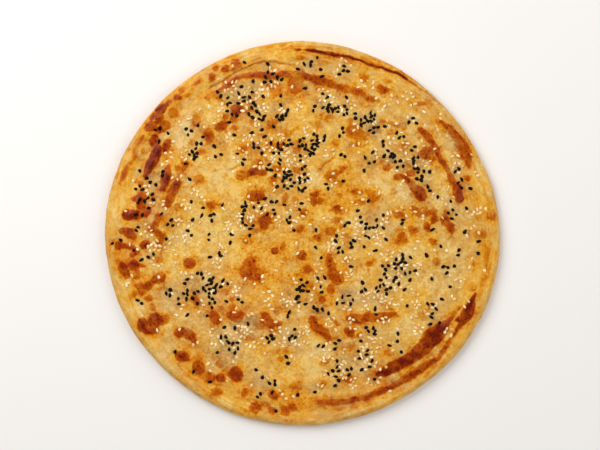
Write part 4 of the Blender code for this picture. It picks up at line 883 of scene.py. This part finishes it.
def hull_material(name, dark, light, tip_colour, roughness):
    """A seed hull: a thin, matt, faintly oily skin that varies from seed to seed, and is browner at the tip."""
    material = bpy.data.materials.new(name)
    material.use_nodes = True
    tree = material.node_tree
    shader = tree.nodes["Principled BSDF"]
    tone = add_node(tree, "ShaderNodeAttribute", attribute_name="tone").outputs["Fac"]
    tip = add_node(tree, "ShaderNodeAttribute", attribute_name="tip").outputs["Fac"]
    body = add_node(tree, "ShaderNodeValToRGB", {"Fac": tone}, ((0.0, dark), (1.0, light))).outputs["Color"]
    at_tip = add_node(tree, "ShaderNodeMapRange", {"Value": tip, "From Min": 0.55, "From Max": 1.0, "To Max": 0.6})
    colour = add_node(
        tree, "ShaderNodeMix", {"Factor": at_tip.outputs[0], "A": body, "B": hex_colour(tip_colour)}, data_type="RGBA"
    )
    tree.links.new(colour.outputs["Result"], shader.inputs["Base Color"])
    place = add_node(tree, "ShaderNodeTexCoord").outputs["Object"]
    wrinkles = add_node(tree, "ShaderNodeTexNoise", {"Vector": place, "Scale": 1 / (0.35 * M), "Detail": 2.0})
    bump = add_node(
        tree, "ShaderNodeBump", {"Height": wrinkles.outputs["Fac"], "Strength": 0.25, "Distance": 0.05 * M}
    )
    tree.links.new(bump.outputs["Normal"], shader.inputs["Normal"])
    shader.inputs["Roughness"].default_value = roughness
    shader.inputs["Specular IOR Level"].default_value = 0.12
    return material


places, kind = seed_places()
black_seeds = seeds_mesh("black_seeds", places[kind == 0], (3.0, 1.9, 1.05), 82)
black_seeds.data.materials.append(hull_material("black sesame hull", "020100", "100804", "1c0f07", 0.6))
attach(black_seeds, "root")

# ---- The white sesame --------------------------------------------------------------------------------------
# Hulled sesame, ivory where it stayed clear of the pan and toasted to straw or light brown where it didn't.

white_seeds = seeds_mesh("white_seeds", places[kind == 1], (2.65, 1.6, 0.85), 83)
white_seeds.data.materials.append(hull_material("hulled sesame", "e0ae58", "fff0c0", "d9a658", 0.45))
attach(white_seeds, "root")

# ---- The floor ---------------------------------------------------------------------------------------------
# A pale, matt board that the bread lies on.


def floor_board():
    """A square board of two triangles, 3 m a side, with its top at the bread's underside."""
    half = 1500
    corners = np.array([(-half, -half, 0), (half, -half, 0), (half, half, 0), (-half, half, 0)], float)
    board = triangle_mesh("floor", corners, np.array([(0, 1, 2), (0, 2, 3)]), {})
    material = bpy.data.materials.new("pale matt paint")
    material.use_nodes = True
    shader = material.node_tree.nodes["Principled BSDF"]
    shader.inputs["Base Color"].default_value = hex_colour("f1eeea")
    shader.inputs["Roughness"].default_value = 0.8
    board.data.materials.append(material)
    return board


floor_board()

# ---- The light and the camera ------------------------------------------------------------------------------
# A large soft light high on the far left, and an even pale fill. The camera looks straight down.


def soft_light(name, place, size, watts):
    """A square light that faces the middle of the bread."""
    data = bpy.data.lights.new(name, "AREA")
    data.size = size * M
    data.energy = watts
    light = bpy.data.objects.new(name, data)
    light.location = [each * M for each in place]
    light.rotation_euler = (-light.location).to_track_quat("-Z", "Y").to_euler()
    bpy.context.scene.collection.objects.link(light)
    return light


def camera_above(x, y, distance, view_width):
    """A camera that looks straight down, and sees view_width across at its distance."""
    data = bpy.data.cameras.new("camera")
    data.sensor_width = 36
    data.lens = data.sensor_width * distance / view_width
    camera = bpy.data.objects.new("camera", data)
    camera.location = [each * M for each in (x, y, distance + RIM_THICKNESS)]
    bpy.context.scene.collection.objects.link(camera)
    return camera


soft_light("window", (-520, 430, 720), 700, 7.6)
soft_light("right fill", (900, 100, 600), 900, 4.8)
soft_light("near fill", (0, -900, 600), 900, 3.2)
soft_light("far fill", (100, 900, 600), 900, 3.2)
world = bpy.data.worlds.new("even fill")
world.use_nodes = True
world.node_tree.nodes["Background"].inputs["Color"].default_value = hex_colour("fffdfa")
world.node_tree.nodes["Background"].inputs["Strength"].default_value = 0.14
bpy.context.scene.world = world
bpy.context.scene.view_settings.view_transform = "Standard"
bpy.context.scene.camera = camera_above(-1.6, 5.4, 1000, 383.4)
